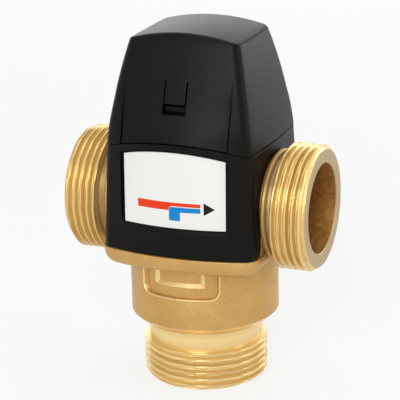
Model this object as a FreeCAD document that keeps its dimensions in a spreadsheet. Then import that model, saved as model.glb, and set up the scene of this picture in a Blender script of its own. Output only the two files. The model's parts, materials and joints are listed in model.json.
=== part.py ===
"""Thermostatic three-way mixing valve with a moulded plastic cover.

A cast brass body stands on its cold port, with the hot port to the left and the
mixed port to the right. All three have G 1 1/4 male threads. A wax element moves
a stem with two valve discs between a hot seat and a cold seat. A knob under the
lift-off cap drives a spindle and a nut that set where the element pushes from.

Frame, in millimetres: origin at the middle of the bottom port's end face, +Z up,
+X towards the mixed port, -Y towards the label.
"""
import FreeCAD, Part
import math
import os

import Sketcher
from FreeCAD import Placement, Rotation, Vector

SHEET = "Sheet"

SIZES = {
    # ports and their G 1 1/4 threads
    "port_reach": 42.0,
    "axis_height": 62.0,
    "thread_radius": 20.955,
    "thread_length": 11.7,
    "thread_chamfer": 1.4,
    "bore_radius": 15.0,
    "relief_radius": 17.0,
    "relief_width": 2.0,
    "collar_radius": 18.5,
    "collar_width": 1.7,
    "collar_bevel": 0.5,
    "neck_radius": 17.0,
    # bottom port and barrel
    "bottom_thread_length": 13.6,
    "bottom_relief_radius": 19.2,
    "barrel_radius": 25.0,
    "barrel_bottom": 21.0,
    "barrel_chamfer": 2.6,
    "recess_depth": 1.3,
    "recess_angle": 65.0,
    "recess_bottom": 9.0,
    "recess_round": 3.0,
    "pad_angle": 43.0,
    "pad_bottom": 3.8,
    "pad_rise": 1.0,
    # belly and ledge that the cover stands on
    "belly_bottom": 6.4,
    "ledge_top": 12.4,
    "ledge_lip": 0.7,
    "ledge_round": 5.2,
    "ledge_corner": 5.6,
    "gusset_round": 5.0,
    # chambers and bridge wall
    "casting_radius": 22.5,
    "casting_wall": 3.0,
    "shoulder_height": 2.3,
    "top_neck_radius": 17.5,
    "top_face": 22.2,
    "ceiling": 6.2,
    "bridge_wall": 4.0,
    "cold_chamber_bottom": 24.0,
    "cold_chamber_radius": 20.0,
    "cold_chamber_top": 4.5,
    "mixed_chamber_bottom": 18.0,
    "mixed_floor_bore": 12.5,
    "bonnet_thread_radius": 13.5,
    "bore_end_wall": 3.5,
    # seats
    "fit": 0.02,
    "running_fit": 0.1,
    "hot_seat_bore": 10.4,
    "hot_seat_radius": 13.0,
    "hot_seat_height": 3.0,
    "cold_seat_bore": 9.8,
    "cold_seat_thickness": 2.0,
    "cold_seat_top": 3.0,
    # stem with the wax element and its two discs
    "stroke": 1.9,
    "seat_gap": 0.1,
    "seal_stand": 0.8,
    "seal_depth": 1.0,
    "seal_width": 2.7,
    "disc_thickness": 2.2,
    "hot_disc_radius": 12.8,
    "cold_disc_radius": 12.2,
    "disc_rim": 0.4,
    "capsule_radius": 7.5,
    "capsule_bottom": 2.5,
    "capsule_top": 4.0,
    "crimp_radius": 8.2,
    "crimp_height": 2.0,
    "shoulder_radius": 6.5,
    "sleeve_radius": 4.5,
    "sleeve_rise": 5.0,
    "stud_radius": 3.0,
    "stud_bottom": 17.5,
    "pin_radius": 1.5,
    "pin_bottom": 3.6,
    "pin_bore_bottom": 2.9,
    "hot_nut_flats": 13.0,
    "cold_nut_flats": 10.0,
    "disc_nut_height": 2.2,
    # bonnet
    "bonnet_bottom": 11.2,
    "bonnet_flange_radius": 18.6,
    "bonnet_flange": 2.2,
    "bonnet_flats": 30.0,
    "bonnet_hex_top": 7.8,
    "bonnet_collar_radius": 13.0,
    "guide_top": 13.1,
    "bonnet_roof": 1.5,
    "gland_radius": 7.5,
    "gland_top": 7.0,
    "gasket_wire": 0.74,
    "gasket_groove": 2.2,
    "gasket_depth": 1.5,
    # setting nut with its overtravel spring
    "nut_flats": 19.4,
    "nut_bottom": 2.0,
    "nut_height": 17.0,
    "nut_chamfer": 0.5,
    "cup_radius": 8.0,
    "cup_depth": 10.0,
    "clip_width": 0.7,
    "clip_clearance": 0.1,
    "clip_seat": 0.5,
    "clip_height": 1.1,
    "plunger_thickness": 2.0,
    "plunger_radius": 7.7,
    "pin_seat": 1.0,
    "overtravel_wire": 0.7,
    "overtravel_turns": 2.0,
    "spring_side_gap": 0.3,
    # spindle, knob and screw
    "drive_thread_radius": 5.0,
    "spindle_bottom": 12.8,
    "spindle_shoulder_radius": 6.5,
    "spindle_shoulder": 2.0,
    "end_float": 0.3,
    "spindle_radius": 4.0,
    "ring_groove_depth": 1.05,
    "ring_groove_width": 1.4,
    "ring_groove_pitch": 3.0,
    "ring_wire": 0.55,
    "spindle_clip_radius": 6.0,
    "spindle_end_radius": 3.6,
    "spindle_top": 6.2,
    "spindle_flat": 2.9,
    "knob_radius": 13.0,
    "knob_skirt": 2.0,
    "knob_bottom": 3.8,
    "knob_top": 2.9,
    "knob_bevel": 1.0,
    "knob_hub_radius": 6.5,
    "knob_flutes": 18.0,
    "flute_radius": 1.1,
    "screw_radius": 1.55,
    "screw_head_radius": 3.6,
    "screw_head_height": 1.6,
    "screw_length": 9.0,
    "screw_socket": 2.5,
    "screw_clearance": 0.2,
    # return spring and its cage
    "cage_bottom": 16.0,
    "cage_thickness": 1.6,
    "cage_hub_radius": 5.6,
    "cage_hub_height": 6.0,
    "cage_plate_radius": 9.6,
    "cage_rim": 1.8,
    "cage_window_angle": 84.0,
    "cage_clip_width": 2.2,
    "cage_clip_height": 0.8,
    "return_radius": 8.0,
    "return_wire": 0.9,
    "return_turns": 4.0,
    # cover: plan sections, walls and parting line
    "cover_foot": 0.3,
    "cover_depth": 28.0,
    "foot_front_radius": 83.0,
    "waist_front_radius": 54.6,
    "side_radius": 300.0,
    "ledge_side_radius": 400.0,
    "foot_half_width": 27.3,
    "waist_half_width": 25.85,
    "waist_height": 2.1,
    "cover_corner": 4.0,
    "cover_wall": 2.0,
    "parting_rise": 3.5,
    "parting_radius": 84.0,
    "parting_gap": 0.3,
    "deck_thickness": 2.0,
    "deck_gap": 0.4,
    "arch_gap": 0.35,
    "leg_round": 4.0,
    # label and its recess
    "label_half_width": 17.5,
    "label_margin": 1.1,
    "label_bottom": 9.8,
    "label_top": 1.5,
    "label_arch": 64.0,
    "label_thickness": 0.4,
    "label_recess": 1.2,
    # cap
    "cap_base_depth": 28.9,
    "cap_base_front": 48.1,
    "cap_mid_height": 20.0,
    "cap_mid_half_width": 22.9,
    "cap_mid_depth": 22.1,
    "cap_mid_front": 87.0,
    "cap_top_height": 1.0,
    "cap_top_half_width": 17.7,
    "cap_top_depth": 14.3,
    "cap_top_front": 122.0,
    "cap_top_corner": 3.0,
    "crown_height": 19.0,
    "crown_radius": 47.0,
    "crown_edge": 1.5,
    "band_half_width": 18.6,
    "band_sink": 0.5,
    "band_top": 4.0,
    # latch in the front of the cap
    "window_half_width": 4.0,
    "window_bottom": 13.7,
    "window_top": 3.5,
    "slit_width": 0.5,
    "slit_top": 6.8,
    "post_half_width": 3.4,
    "post_thickness": 1.5,
    "post_gap": 0.5,
    "nose_height": 2.2,
    "nose_reach": 0.9,
}

# Each of these heights is kept as a step above (+1) or below (-1) another height.
STEPS = {
    "top_face": ("axis_height", 1),
    "shoulder_height": ("top_face", -1),
    "ceiling": ("top_face", -1),
    "mixed_chamber_bottom": ("axis_height", -1),
    "cold_seat_top": ("mixed_chamber_bottom", -1),
    "cold_chamber_top": ("cold_seat_top", -1),
    "ledge_top": ("axis_height", -1),
    "belly_bottom": ("ledge_top", -1),
    "recess_bottom": ("belly_bottom", -1),
    "pad_bottom": ("recess_bottom", 1),
    "capsule_bottom": ("cold_seat_top", 1),
    "capsule_top": ("axis_height", -1),
    "pin_bore_bottom": ("capsule_bottom", 1),
    "pin_bottom": ("pin_bore_bottom", 1),
    "bonnet_bottom": ("top_face", -1),
    "bonnet_hex_top": ("top_face", 1),
    "guide_top": ("top_face", 1),
    "gland_top": ("guide_top", 1),
    "nut_bottom": ("bonnet_bottom", 1),
    "spindle_bottom": ("guide_top", -1),
    "spindle_top": ("gland_top", 1),
    "knob_bottom": ("gland_top", -1),
    "knob_top": ("spindle_top", 1),
    "cover_foot": ("ledge_top", 1),
    "waist_height": ("shoulder_height", 1),
    "label_bottom": ("cover_foot", 1),
    "label_top": ("waist_height", -1),
    "cap_mid_height": ("waist_height", 1),
    "crown_height": ("cap_mid_height", 1),
    "cap_top_height": ("crown_height", 1),
    "band_top": ("cap_mid_height", 1),
    "window_bottom": ("waist_height", 1),
    "window_top": ("window_bottom", 1),
    "slit_top": ("window_top", 1),
}


class Size:
    """A length known both as a number and as a formula on the sheet."""

    def __init__(self, value, formula):
        self.value = value
        self.formula = formula

    def __add__(self, other):
        other = as_size(other)
        return Size(self.value + other.value, f"({self.formula} + {other.formula})")

    def __sub__(self, other):
        other = as_size(other)
        return Size(self.value - other.value, f"({self.formula} - {other.formula})")

    def __mul__(self, other):
        other = as_size(other)
        return Size(self.value * other.value, f"({self.formula} * {other.formula})")

    def __truediv__(self, other):
        other = as_size(other)
        return Size(self.value / other.value, f"({self.formula} / {other.formula})")

    def __rsub__(self, other):
        return as_size(other) - self

    def __radd__(self, other):
        return as_size(other) + self

    def __rmul__(self, other):
        return as_size(other) * self

    def __neg__(self):
        return Size(-self.value, f"(0 - {self.formula})")


def as_size(number):
    """Take a plain number as a size, and leave a size as it is."""
    if isinstance(number, Size):
        return number
    return Size(float(number), f"{float(number):.9g}" if number >= 0 else f"(0 - {-float(number):.9g})")


def square_root(size):
    """The square root of a size that is an area."""
    return Size(math.sqrt(size.value), f"sqrt({size.formula})")


ZERO = as_size(0)
doc = FreeCAD.newDocument("mixing_valve")


def fill_sheet():
    """Write the driving sizes into the spreadsheet and return them by name, heights in full."""
    sheet = doc.addObject("Spreadsheet::Sheet", SHEET)
    named = {}
    for row, (name, value) in enumerate(SIZES.items(), start=1):
        sheet.set(f"A{row}", name)
        sheet.set(f"B{row}", f"{value:.9g}")
        sheet.setAlias(f"B{row}", name)
        named[name] = Size(value, f"{SHEET}.{name}")
    for name, (base, side) in STEPS.items():
        step = named[name]
        named[name] = named[base] + step if side > 0 else named[base] - step
    doc.recompute()
    return named


S = fill_sheet()


# ---------------------------------------------------------------- helpers

def bind(item, path, size):
    """Set a property of an object from a size on the sheet."""
    item.setExpression(path, as_size(size).formula)


def new_body(label):
    """A PartDesign body with its own label."""
    body = doc.addObject("PartDesign::Body", label)
    body.Label = label
    return body


def origin_plane(body, role):
    """One of a body's own origin planes."""
    for feature in body.Origin.OriginFeatures:
        if feature.Role == role:
            return feature
    raise ValueError(f"{body.Label} has no {role}")


def new_sketch(body, name, role="XZ_Plane", lift=ZERO, rise=ZERO):
    """A sketch on an origin plane, moved along its normal and up within it."""
    sketch = body.newObject("Sketcher::SketchObject", name)
    sketch.AttachmentSupport = (origin_plane(body, role), "")
    sketch.MapMode = "FlatFace"
    sketch.AttachmentOffset = Placement(Vector(0, rise.value, lift.value), Rotation())
    bind(sketch, "AttachmentOffset.Base.z", lift)
    bind(sketch, "AttachmentOffset.Base.y", rise)
    return sketch


def pin_point(sketch, geometry, position, x, y):
    """Fix a point of the sketch at two sizes."""
    for kind, size in (("DistanceX", x), ("DistanceY", y)):
        index = sketch.addConstraint(Sketcher.Constraint(kind, geometry, position, size.value))
        bind(sketch, f"Constraints[{index}]", size)


def set_radius(sketch, geometry, radius):
    """Fix the radius of an arc or circle."""
    index = sketch.addConstraint(Sketcher.Constraint("Radius", geometry, radius.value))
    bind(sketch, f"Constraints[{index}]", radius)


def arc_between(start, end, radius, turn):
    """An arc from start to end, with turn +1 for its centre on the left."""
    chord = end - start
    half = chord.Length / 2
    side = Vector(-chord.y, chord.x, 0).normalize() * turn
    reach = math.sqrt(max(radius * radius - half * half, 0))
    centre = (start + end) * 0.5 + side * reach
    middle = centre - side * radius
    return Part.Arc(start, middle, end)


def draw(sketch, corners):
    """Draw one closed outline.

    Each corner is (x, y) for a straight edge that ends there, or
    (x, y, radius, turn) for an arc that ends there.
    """
    corners = [tuple(as_size(v) if i < 3 else v for i, v in enumerate(c)) for c in corners]
    points = [Vector(c[0].value, c[1].value, 0) for c in corners]
    ids = []
    ends = []
    for number, corner in enumerate(corners):
        start = points[number - 1]
        end = points[number]
        if len(corner) == 2:
            ids.append(sketch.addGeometry(Part.LineSegment(start, end), False))
            ends.append((1, 2))
        else:
            arc = arc_between(start, end, corner[2].value, corner[3])
            ids.append(sketch.addGeometry(arc, False))
            ends.append((1, 2) if corner[3] > 0 else (2, 1))
    for number, corner in enumerate(corners):
        after = (number + 1) % len(corners)
        link = Sketcher.Constraint("Coincident", ids[number], ends[number][1], ids[after], ends[after][0])
        sketch.addConstraint(link)
        pin_point(sketch, ids[number], ends[number][1], corner[0], corner[1])
        if len(corner) == 4:
            set_radius(sketch, ids[number], corner[2])


def draw_circle(sketch, x, y, radius):
    """Draw one circle."""
    centre = Vector(x.value, y.value, 0)
    ring = sketch.addGeometry(Part.Circle(centre, Vector(0, 0, 1), radius.value), False)
    pin_point(sketch, ring, 3, x, y)
    set_radius(sketch, ring, radius)


def draw_hexagon(sketch, flats):
    """Draw a hexagon about the origin from its size across flats."""
    corners = []
    for step in range(6):
        angle = math.radians(60 * step + 30)
        reach = 1 / math.sqrt(3)
        corners.append((flats * (reach * math.cos(angle)), flats * (reach * math.sin(angle))))
    draw(sketch, corners)


def solid_of(body):
    """The body's solid, brought up to date."""
    doc.recompute()
    return body.Shape


def add_feature(body, kind, name, sketch, sizes, options=(), sign=0):
    """Add a sketch-based feature, and see that it adds or takes material.

    Args:
        body: the PartDesign body.
        kind: the feature's class, such as Pad or Groove.
        name: the feature's name.
        sketch: its profile.
        sizes: pairs of a property and its size.
        options: pairs of a property and a plain value.
        sign: +1 if it adds to a solid that is there, -1 if it cuts, 0 for the first.
    """
    before = solid_of(body).Volume if sign else 0
    feature = body.newObject(f"PartDesign::{kind}", name)
    feature.Profile = sketch
    for path, value in options:
        setattr(feature, path, value)
    for path, size in sizes:
        bind(feature, path, size)
    sketch.Visibility = False
    change = solid_of(body).Volume - before
    if sign and change * sign <= 0:
        raise ValueError(f"{name} changed the volume by {change:.3f}")
    return feature


def pad(body, name, sketch, length, both=False, back=False, first=False):
    """Raise a profile, to one side or evenly to both."""
    options = [("Type", "Length"), ("Reversed", back), ("Midplane", both)]
    return add_feature(body, "Pad", name, sketch, [("Length", length)], options, 0 if first else 1)


def pocket(body, name, sketch, length, both=False, back=False):
    """Cut a profile away, to one side or evenly to both."""
    options = [("Type", "Length"), ("Reversed", back), ("Midplane", both)]
    return add_feature(body, "Pocket", name, sketch, [("Length", length)], options, -1)


def spin(body, name, sketch, axis="V_Axis", angle=None, cut=False, first=False):
    """Turn a profile about one of its sketch's axes, all round or over an angle."""
    options = [("ReferenceAxis", (sketch, [axis])), ("Midplane", angle is not None)]
    sizes = [("Angle", angle if angle is not None else as_size(360))]
    kind = "Groove" if cut else "Revolution"
    sign = 0 if first else (-1 if cut else 1)
    return add_feature(body, kind, name, sketch, sizes, options, sign)


def turned(label, corners, angle=None):
    """A piece turned about the Z axis from its half section."""
    body = new_body(label)
    sketch = new_sketch(body, f"{label}_section")
    draw(sketch, corners)
    spin(body, f"{label}_turning", sketch, angle=angle, first=True)
    return body


def washer(label, inner, outer, bottom, top, angle=None):
    """A flat ring with a rectangular section."""
    return turned(label, [(inner, bottom), (outer, bottom), (outer, top), (inner, top)], angle)


def edges_where(shape, test):
    """Names of the edges whose middle and shape pass a test."""
    return [f"Edge{i}" for i, edge in enumerate(shape.Edges, start=1) if test(edge)]


def dress(body, kind, name, names, radius):
    """Round or bevel some edges of the body's tip."""
    base = body.Tip
    feature = body.newObject(f"PartDesign::{kind}", name)
    feature.Base = (base, names)
    bind(feature, "Radius" if kind == "Fillet" else "Size", radius)
    doc.recompute()
    return feature


def boolean(kind, name, base, tool):
    """A Part boolean of two objects."""
    result = doc.addObject(f"Part::{kind}", name)
    result.Base = base
    result.Tool = tool
    result.Label = name
    doc.recompute()
    if result.Shape.isNull() or result.Shape.Volume <= 0:
        raise ValueError(f"{name} came out empty")
    return result


def block(name, x, y, z):
    """A box from three pairs of sizes, each pair from low to high."""
    box = doc.addObject("Part::Box", name)
    for side, path, pair in (("Length", "x", x), ("Width", "y", y), ("Height", "z", z)):
        low, high = (as_size(v) for v in pair)
        bind(box, side, high - low)
        bind(box, f"Placement.Base.{path}", low)
    return box


# ------------------------------------------------------- values worked out

HOT_SEAT_TOP = S["axis_height"] + S["hot_seat_height"]
HOT_SEAL_BOTTOM = HOT_SEAT_TOP + S["stroke"] + S["seat_gap"]
HOT_DISC_BOTTOM = HOT_SEAL_BOTTOM + S["seal_stand"]
COLD_SEAT_BOTTOM = S["cold_seat_top"] - S["cold_seat_thickness"]
COLD_SEAL_TOP = COLD_SEAT_BOTTOM - S["stroke"] - S["seat_gap"]
COLD_DISC_TOP = COLD_SEAL_TOP - S["seal_stand"]
COLD_DISC_BOTTOM = COLD_DISC_TOP - S["disc_thickness"]
BRIDGE_TOP = S["axis_height"] + S["bridge_wall"] / 2
BRIDGE_BOTTOM = S["axis_height"] - S["bridge_wall"] / 2
CHAMBER_RADIUS = S["casting_radius"] - S["casting_wall"]
BORE_END = CHAMBER_RADIUS + S["bore_end_wall"]
THREAD_START = S["port_reach"] - S["thread_length"]
COLLAR_END = THREAD_START - S["relief_width"]
COLLAR_START = COLLAR_END - S["collar_width"]
CAGE_TOP = S["cage_bottom"] + S["cage_thickness"]
CUP_TOP = S["nut_bottom"] + S["cup_depth"]
CLIP_BOTTOM = S["nut_bottom"] + S["clip_height"]
PLUNGER_BOTTOM = CLIP_BOTTOM + S["clip_width"] + S["clip_clearance"] * 2
PLUNGER_TOP = PLUNGER_BOTTOM + S["plunger_thickness"]
SHOULDER_TOP = S["guide_top"] - S["end_float"]
ROOF = S["guide_top"] + S["bonnet_roof"]
DECK_TOP = S["shoulder_height"] + S["deck_thickness"]
PARTING_TOP = S["waist_height"] + S["parting_rise"]
BORE_RADIUS = S["bore_radius"]


# --------------------------------------------------------------- casting

def valve_body():
    """The brass casting with its three ports, the bridge wall and the ledge."""
    body = new_body("valve_body")

    plan = new_sketch(body, "ledge_plan", "XY_Plane", S["belly_bottom"])
    draw_section(plan, S["foot_half_width"] + S["ledge_lip"] / 2, S["cover_depth"] + S["ledge_lip"],
                 S["foot_front_radius"], S["ledge_side_radius"], S["ledge_corner"])
    pad(body, "ledge", plan, S["ledge_top"] - S["belly_bottom"], first=True)
    low = edges_where(solid_of(body), lambda e: abs(e.CenterOfMass.z - S["belly_bottom"].value) < 0.01)
    dress(body, "Fillet", "belly", low, S["ledge_round"])

    barrel = new_sketch(body, "barrel_section")
    thread_end = S["bottom_thread_length"]
    thread_step = S["thread_radius"] - S["bottom_relief_radius"]
    draw(barrel, [
        (ZERO, ZERO),
        (S["thread_radius"] - S["thread_chamfer"], ZERO),
        (S["thread_radius"], S["thread_chamfer"]),
        (S["thread_radius"], thread_end - thread_step),
        (S["bottom_relief_radius"], thread_end),
        (S["bottom_relief_radius"], S["barrel_bottom"]),
        (S["barrel_radius"] - S["barrel_chamfer"], S["barrel_bottom"]),
        (S["barrel_radius"], S["barrel_bottom"] + S["barrel_chamfer"]),
        (S["barrel_radius"], S["belly_bottom"] + S["ledge_round"] / 2),
        (S["casting_radius"], S["belly_bottom"] + S["ledge_round"] / 2),
        (S["casting_radius"], S["shoulder_height"]),
        (S["top_neck_radius"], S["shoulder_height"]),
        (S["top_neck_radius"], S["top_face"]),
        (ZERO, S["top_face"]),
    ])
    spin(body, "barrel", barrel)

    web = new_sketch(body, "web_section")
    gusset = S["gusset_round"]
    draw(web, [
        (COLLAR_START, S["axis_height"]),
        (-COLLAR_START, S["axis_height"]),
        (-COLLAR_START, S["belly_bottom"] + gusset),
        (gusset - COLLAR_START, S["belly_bottom"], gusset, 1),
        (COLLAR_START - gusset, S["belly_bottom"]),
        (COLLAR_START, S["belly_bottom"] + gusset, gusset, 1),
    ])
    pad(body, "web", web, S["neck_radius"] * 2, both=True)

    ports = new_sketch(body, "ports_section", rise=S["axis_height"])
    half = [
        (S["port_reach"], S["thread_radius"] - S["thread_chamfer"]),
        (S["port_reach"] - S["thread_chamfer"], S["thread_radius"]),
        (THREAD_START, S["thread_radius"]),
        (THREAD_START, S["relief_radius"]),
        (COLLAR_END, S["relief_radius"]),
        (COLLAR_END, S["collar_radius"] - S["collar_bevel"]),
        (COLLAR_END - S["collar_bevel"], S["collar_radius"]),
        (COLLAR_START + S["collar_bevel"], S["collar_radius"]),
        (COLLAR_START, S["collar_radius"] - S["collar_bevel"]),
        (COLLAR_START, S["neck_radius"]),
    ]
    other = [(-x, y) for x, y in reversed(half)]
    draw(ports, [(S["port_reach"], ZERO)] + half + other + [(-S["port_reach"], ZERO)])
    spin(body, "ports", ports, axis="H_Axis")

    chambers = new_sketch(body, "chambers_section")
    clip_top = S["cage_bottom"]
    clip_bottom = clip_top - S["cage_clip_height"]
    below = -S["thread_chamfer"]
    above = S["top_face"] + S["thread_chamfer"]
    draw(chambers, [
        (ZERO, below),
        (BORE_RADIUS, below),
        (BORE_RADIUS, clip_bottom),
        (BORE_RADIUS + S["clip_seat"] * 1.8, clip_bottom),
        (BORE_RADIUS + S["clip_seat"] * 1.8, clip_top),
        (BORE_RADIUS, clip_top),
        (BORE_RADIUS, S["cold_chamber_bottom"]),
        (S["cold_chamber_radius"], S["cold_chamber_bottom"]),
        (S["cold_chamber_radius"], S["cold_chamber_top"]),
        (BORE_RADIUS, S["cold_chamber_top"]),
        (BORE_RADIUS, S["cold_seat_top"]),
        (S["mixed_floor_bore"], S["cold_seat_top"]),
        (S["mixed_floor_bore"], S["mixed_chamber_bottom"]),
        (CHAMBER_RADIUS, S["mixed_chamber_bottom"]),
        (CHAMBER_RADIUS, BRIDGE_BOTTOM),
        (S["hot_seat_bore"], BRIDGE_BOTTOM),
        (S["hot_seat_bore"], S["axis_height"]),
        (S["hot_seat_radius"], S["axis_height"]),
        (S["hot_seat_radius"], BRIDGE_TOP),
        (CHAMBER_RADIUS, BRIDGE_TOP),
        (CHAMBER_RADIUS, S["ceiling"]),
        (S["bonnet_thread_radius"], S["ceiling"]),
        (S["bonnet_thread_radius"], above),
        (ZERO, above),
    ])
    spin(body, "chambers", chambers, cut=True)

    for side, sign in (("mixed", 1), ("hot", -1)):
        bore = new_sketch(body, f"{side}_bore_section", rise=S["axis_height"])
        inner = BORE_END * sign
        outer = (S["port_reach"] + S["thread_chamfer"]) * sign
        draw(bore, [(inner, ZERO), (outer, ZERO), (outer, BORE_RADIUS), (inner, BORE_RADIUS)])
        spin(body, f"{side}_bore", bore, axis="H_Axis", cut=True)

        passage = new_sketch(body, f"{side}_passage_section", "YZ_Plane", rise=S["axis_height"])
        drop = S["bridge_wall"] / 2
        half_chord = square_root(BORE_RADIUS * BORE_RADIUS - drop * drop)
        level = drop * -sign
        ends = [(half_chord * sign, level), (-half_chord * sign, level)]
        draw_segment(passage, ends, BORE_RADIUS)
        pocket(body, f"{side}_passage", passage, BORE_END + S["fit"], back=sign > 0)

    recess = new_sketch(body, "recess_section", "YZ_Plane")
    floor = S["barrel_radius"] - S["recess_depth"]
    draw(recess, [
        (-S["barrel_radius"] * 1.1, S["recess_bottom"]),
        (-floor, S["recess_bottom"]),
        (-floor, S["belly_bottom"] + S["recess_depth"]),
        (-S["barrel_radius"] * 1.1, S["belly_bottom"] + S["recess_depth"]),
    ])
    spin(body, "recess", recess, angle=S["recess_angle"], cut=True)
    corner_height = S["recess_bottom"].value
    corner_angle = S["recess_angle"].value / 2

    def is_recess_corner(edge):
        """A short radial edge at a lower corner of the recess."""
        middle = edge.CenterOfMass
        turn = abs(math.degrees(math.atan2(middle.x, -middle.y)))
        return abs(middle.z - corner_height) < 0.01 and abs(turn - corner_angle) < 0.5 and edge.Length < 3

    corners = edges_where(solid_of(body), is_recess_corner)
    dress(body, "Fillet", "recess_corners", corners, S["recess_round"])

    raised = new_sketch(body, "raised_pad_section", "YZ_Plane")
    face = floor + S["pad_rise"]
    root = floor - S["recess_depth"]
    top = S["belly_bottom"] + S["recess_depth"]
    draw(raised, [(-face, S["pad_bottom"]), (-root, S["pad_bottom"]), (-root, top), (-face, top)])
    spin(body, "raised_pad", raised, angle=S["pad_angle"])
    return body


def draw_section(sketch, half_width, half_depth, front, side, corner):
    """Draw a plan section: crowned front, back and sides, and rounded corners.

    Args:
        sketch: a sketch parallel to the XY plane.
        half_width: reach along X at the middle of a side.
        half_depth: reach along Y at the middle of the front.
        front: plan radius of the front and the back.
        side: plan radius of the two sides.
        corner: radius of the four corners.
    """
    a, b, rf, rs, rc = (as_size(v).value for v in (half_width, half_depth, front, side, corner))
    c_front = Vector(0, rf - b, 0)
    c_side = Vector(a - rs, 0, 0)
    r_one = rf - rc
    r_two = rs - rc
    gap = c_side - c_front
    along = (r_one ** 2 - r_two ** 2 + gap.Length ** 2) / (2 * gap.Length)
    off = math.sqrt(r_one ** 2 - along ** 2)
    unit = Vector(gap).normalize()
    across = Vector(-unit.y, unit.x, 0)
    foot = c_front + unit * along
    options = [foot + across * off, foot - across * off]
    centre = [p for p in options if p.x > 0 and p.y < 0][0]
    front_turn = math.atan2(centre.y - c_front.y, centre.x - c_front.x)
    side_turn = math.atan2(centre.y - c_side.y, centre.x - c_side.x)
    mid = math.pi / 2
    ring = [
        (c_front, rf, -math.pi - front_turn, front_turn),
        (centre, rc, front_turn, side_turn),
        (c_side, rs, side_turn, -side_turn),
        (Vector(centre.x, -centre.y, 0), rc, -side_turn, -front_turn),
        (-c_front, rf, -front_turn, math.pi + front_turn),
        (-centre, rc, math.pi + front_turn, math.pi + side_turn),
        (-c_side, rs, math.pi + side_turn, math.pi - side_turn),
        (Vector(-centre.x, centre.y, 0), rc, math.pi - side_turn, math.pi - front_turn),
    ]
    ids = []
    for point, radius, low, high in ring:
        circle = Part.Circle(point, Vector(0, 0, 1), radius)
        ids.append(sketch.addGeometry(Part.ArcOfCircle(circle, low, high), False))
    for number, item in enumerate(ids):
        after = ids[(number + 1) % len(ids)]
        sketch.addConstraint(Sketcher.Constraint("Tangent", item, 2, after, 1))
        set_radius(sketch, item, as_size((front, corner, side, corner)[number % 4]))
    pin_point(sketch, ids[0], 3, ZERO, as_size(front) - half_depth)
    pin_point(sketch, ids[4], 3, ZERO, as_size(half_depth) - front)
    pin_point(sketch, ids[2], 3, as_size(half_width) - side, ZERO)
    pin_point(sketch, ids[6], 3, as_size(side) - half_width, ZERO)


def draw_segment(sketch, ends, radius):
    """Draw a segment of a circle about the sketch's origin, on one side of its chord."""
    start, end = ends
    draw(sketch, [(end[0], end[1]), (start[0], start[1], radius, 1)])


def hot_seat_ring():
    """The ring that the hot disc closes on, pressed into the bridge wall."""
    outer = S["hot_seat_radius"] - S["fit"]
    return washer("hot_seat_ring", S["hot_seat_bore"], outer, S["axis_height"], HOT_SEAT_TOP)


def cold_seat_ring():
    """The ring that the cold disc closes on, pressed up against the cold chamber's roof."""
    outer = BORE_RADIUS - S["fit"]
    return washer("cold_seat_ring", S["cold_seat_bore"], outer, COLD_SEAT_BOTTOM, S["cold_seat_top"])


# ------------------------------------------------------------ valve stem

def thermostat_capsule():
    """The wax element: capsule, crimped ring, guide sleeve and lower stud."""
    shoulder = S["shoulder_radius"]
    crimp_top = S["capsule_top"] + S["crimp_height"]
    taper = S["crimp_radius"] - shoulder
    bevel = S["disc_rim"]
    return turned("thermostat_capsule", [
        (ZERO, S["stud_bottom"]),
        (S["stud_radius"] - bevel, S["stud_bottom"]),
        (S["stud_radius"], S["stud_bottom"] + bevel),
        (S["stud_radius"], COLD_DISC_TOP),
        (S["sleeve_radius"], COLD_DISC_TOP),
        (S["sleeve_radius"], S["capsule_bottom"]),
        (S["capsule_radius"] - bevel, S["capsule_bottom"]),
        (S["capsule_radius"], S["capsule_bottom"] + bevel),
        (S["capsule_radius"], S["capsule_top"]),
        (S["crimp_radius"], S["capsule_top"]),
        (S["crimp_radius"], crimp_top),
        (shoulder, crimp_top + taper),
        (shoulder, HOT_DISC_BOTTOM),
        (S["sleeve_radius"], HOT_DISC_BOTTOM),
        (S["sleeve_radius"], HOT_DISC_BOTTOM + S["sleeve_rise"]),
        (S["pin_radius"] + S["running_fit"], HOT_DISC_BOTTOM + S["sleeve_rise"]),
        (S["pin_radius"] + S["running_fit"], S["pin_bore_bottom"]),
        (ZERO, S["pin_bore_bottom"]),
    ])


def element_pin():
    """The pin that the wax pushes out of the capsule."""
    top = PLUNGER_BOTTOM + S["pin_seat"]
    return turned("element_pin", [
        (ZERO, S["pin_bottom"]), (S["pin_radius"], S["pin_bottom"]), (S["pin_radius"], top), (ZERO, top),
    ])


def disc(label, bore, radius, seat_side, back_side, seal_radius):
    """A valve disc, bevelled on its back, with a seal groove facing the seat.

    Args:
        label: the piece's name.
        bore: radius of its hole.
        radius: its outer radius.
        seat_side: height of the face towards the seat.
        back_side: height of the other face.
        seal_radius: inner radius of the groove.
    """
    sign = 1 if back_side.value > seat_side.value else -1
    floor = seat_side + S["seal_depth"] * sign
    outer = seal_radius + S["seal_width"]
    return turned(label, [
        (bore, seat_side),
        (seal_radius, seat_side),
        (seal_radius, floor),
        (outer, floor),
        (outer, seat_side),
        (radius, seat_side),
        (radius, back_side - S["disc_rim"] * sign),
        (radius - S["disc_rim"], back_side),
        (bore, back_side),
    ])


def disc_seal(label, seal_radius, seat_side, tip):
    """The rubber ring in a disc's groove, standing out towards the seat."""
    sign = 1 if tip.value < seat_side.value else -1
    floor = seat_side + (S["seal_depth"] - S["fit"]) * sign
    inner = seal_radius + S["fit"]
    outer = seal_radius + S["seal_width"] - S["fit"]
    return washer(label, inner, outer, tip, floor)


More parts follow.
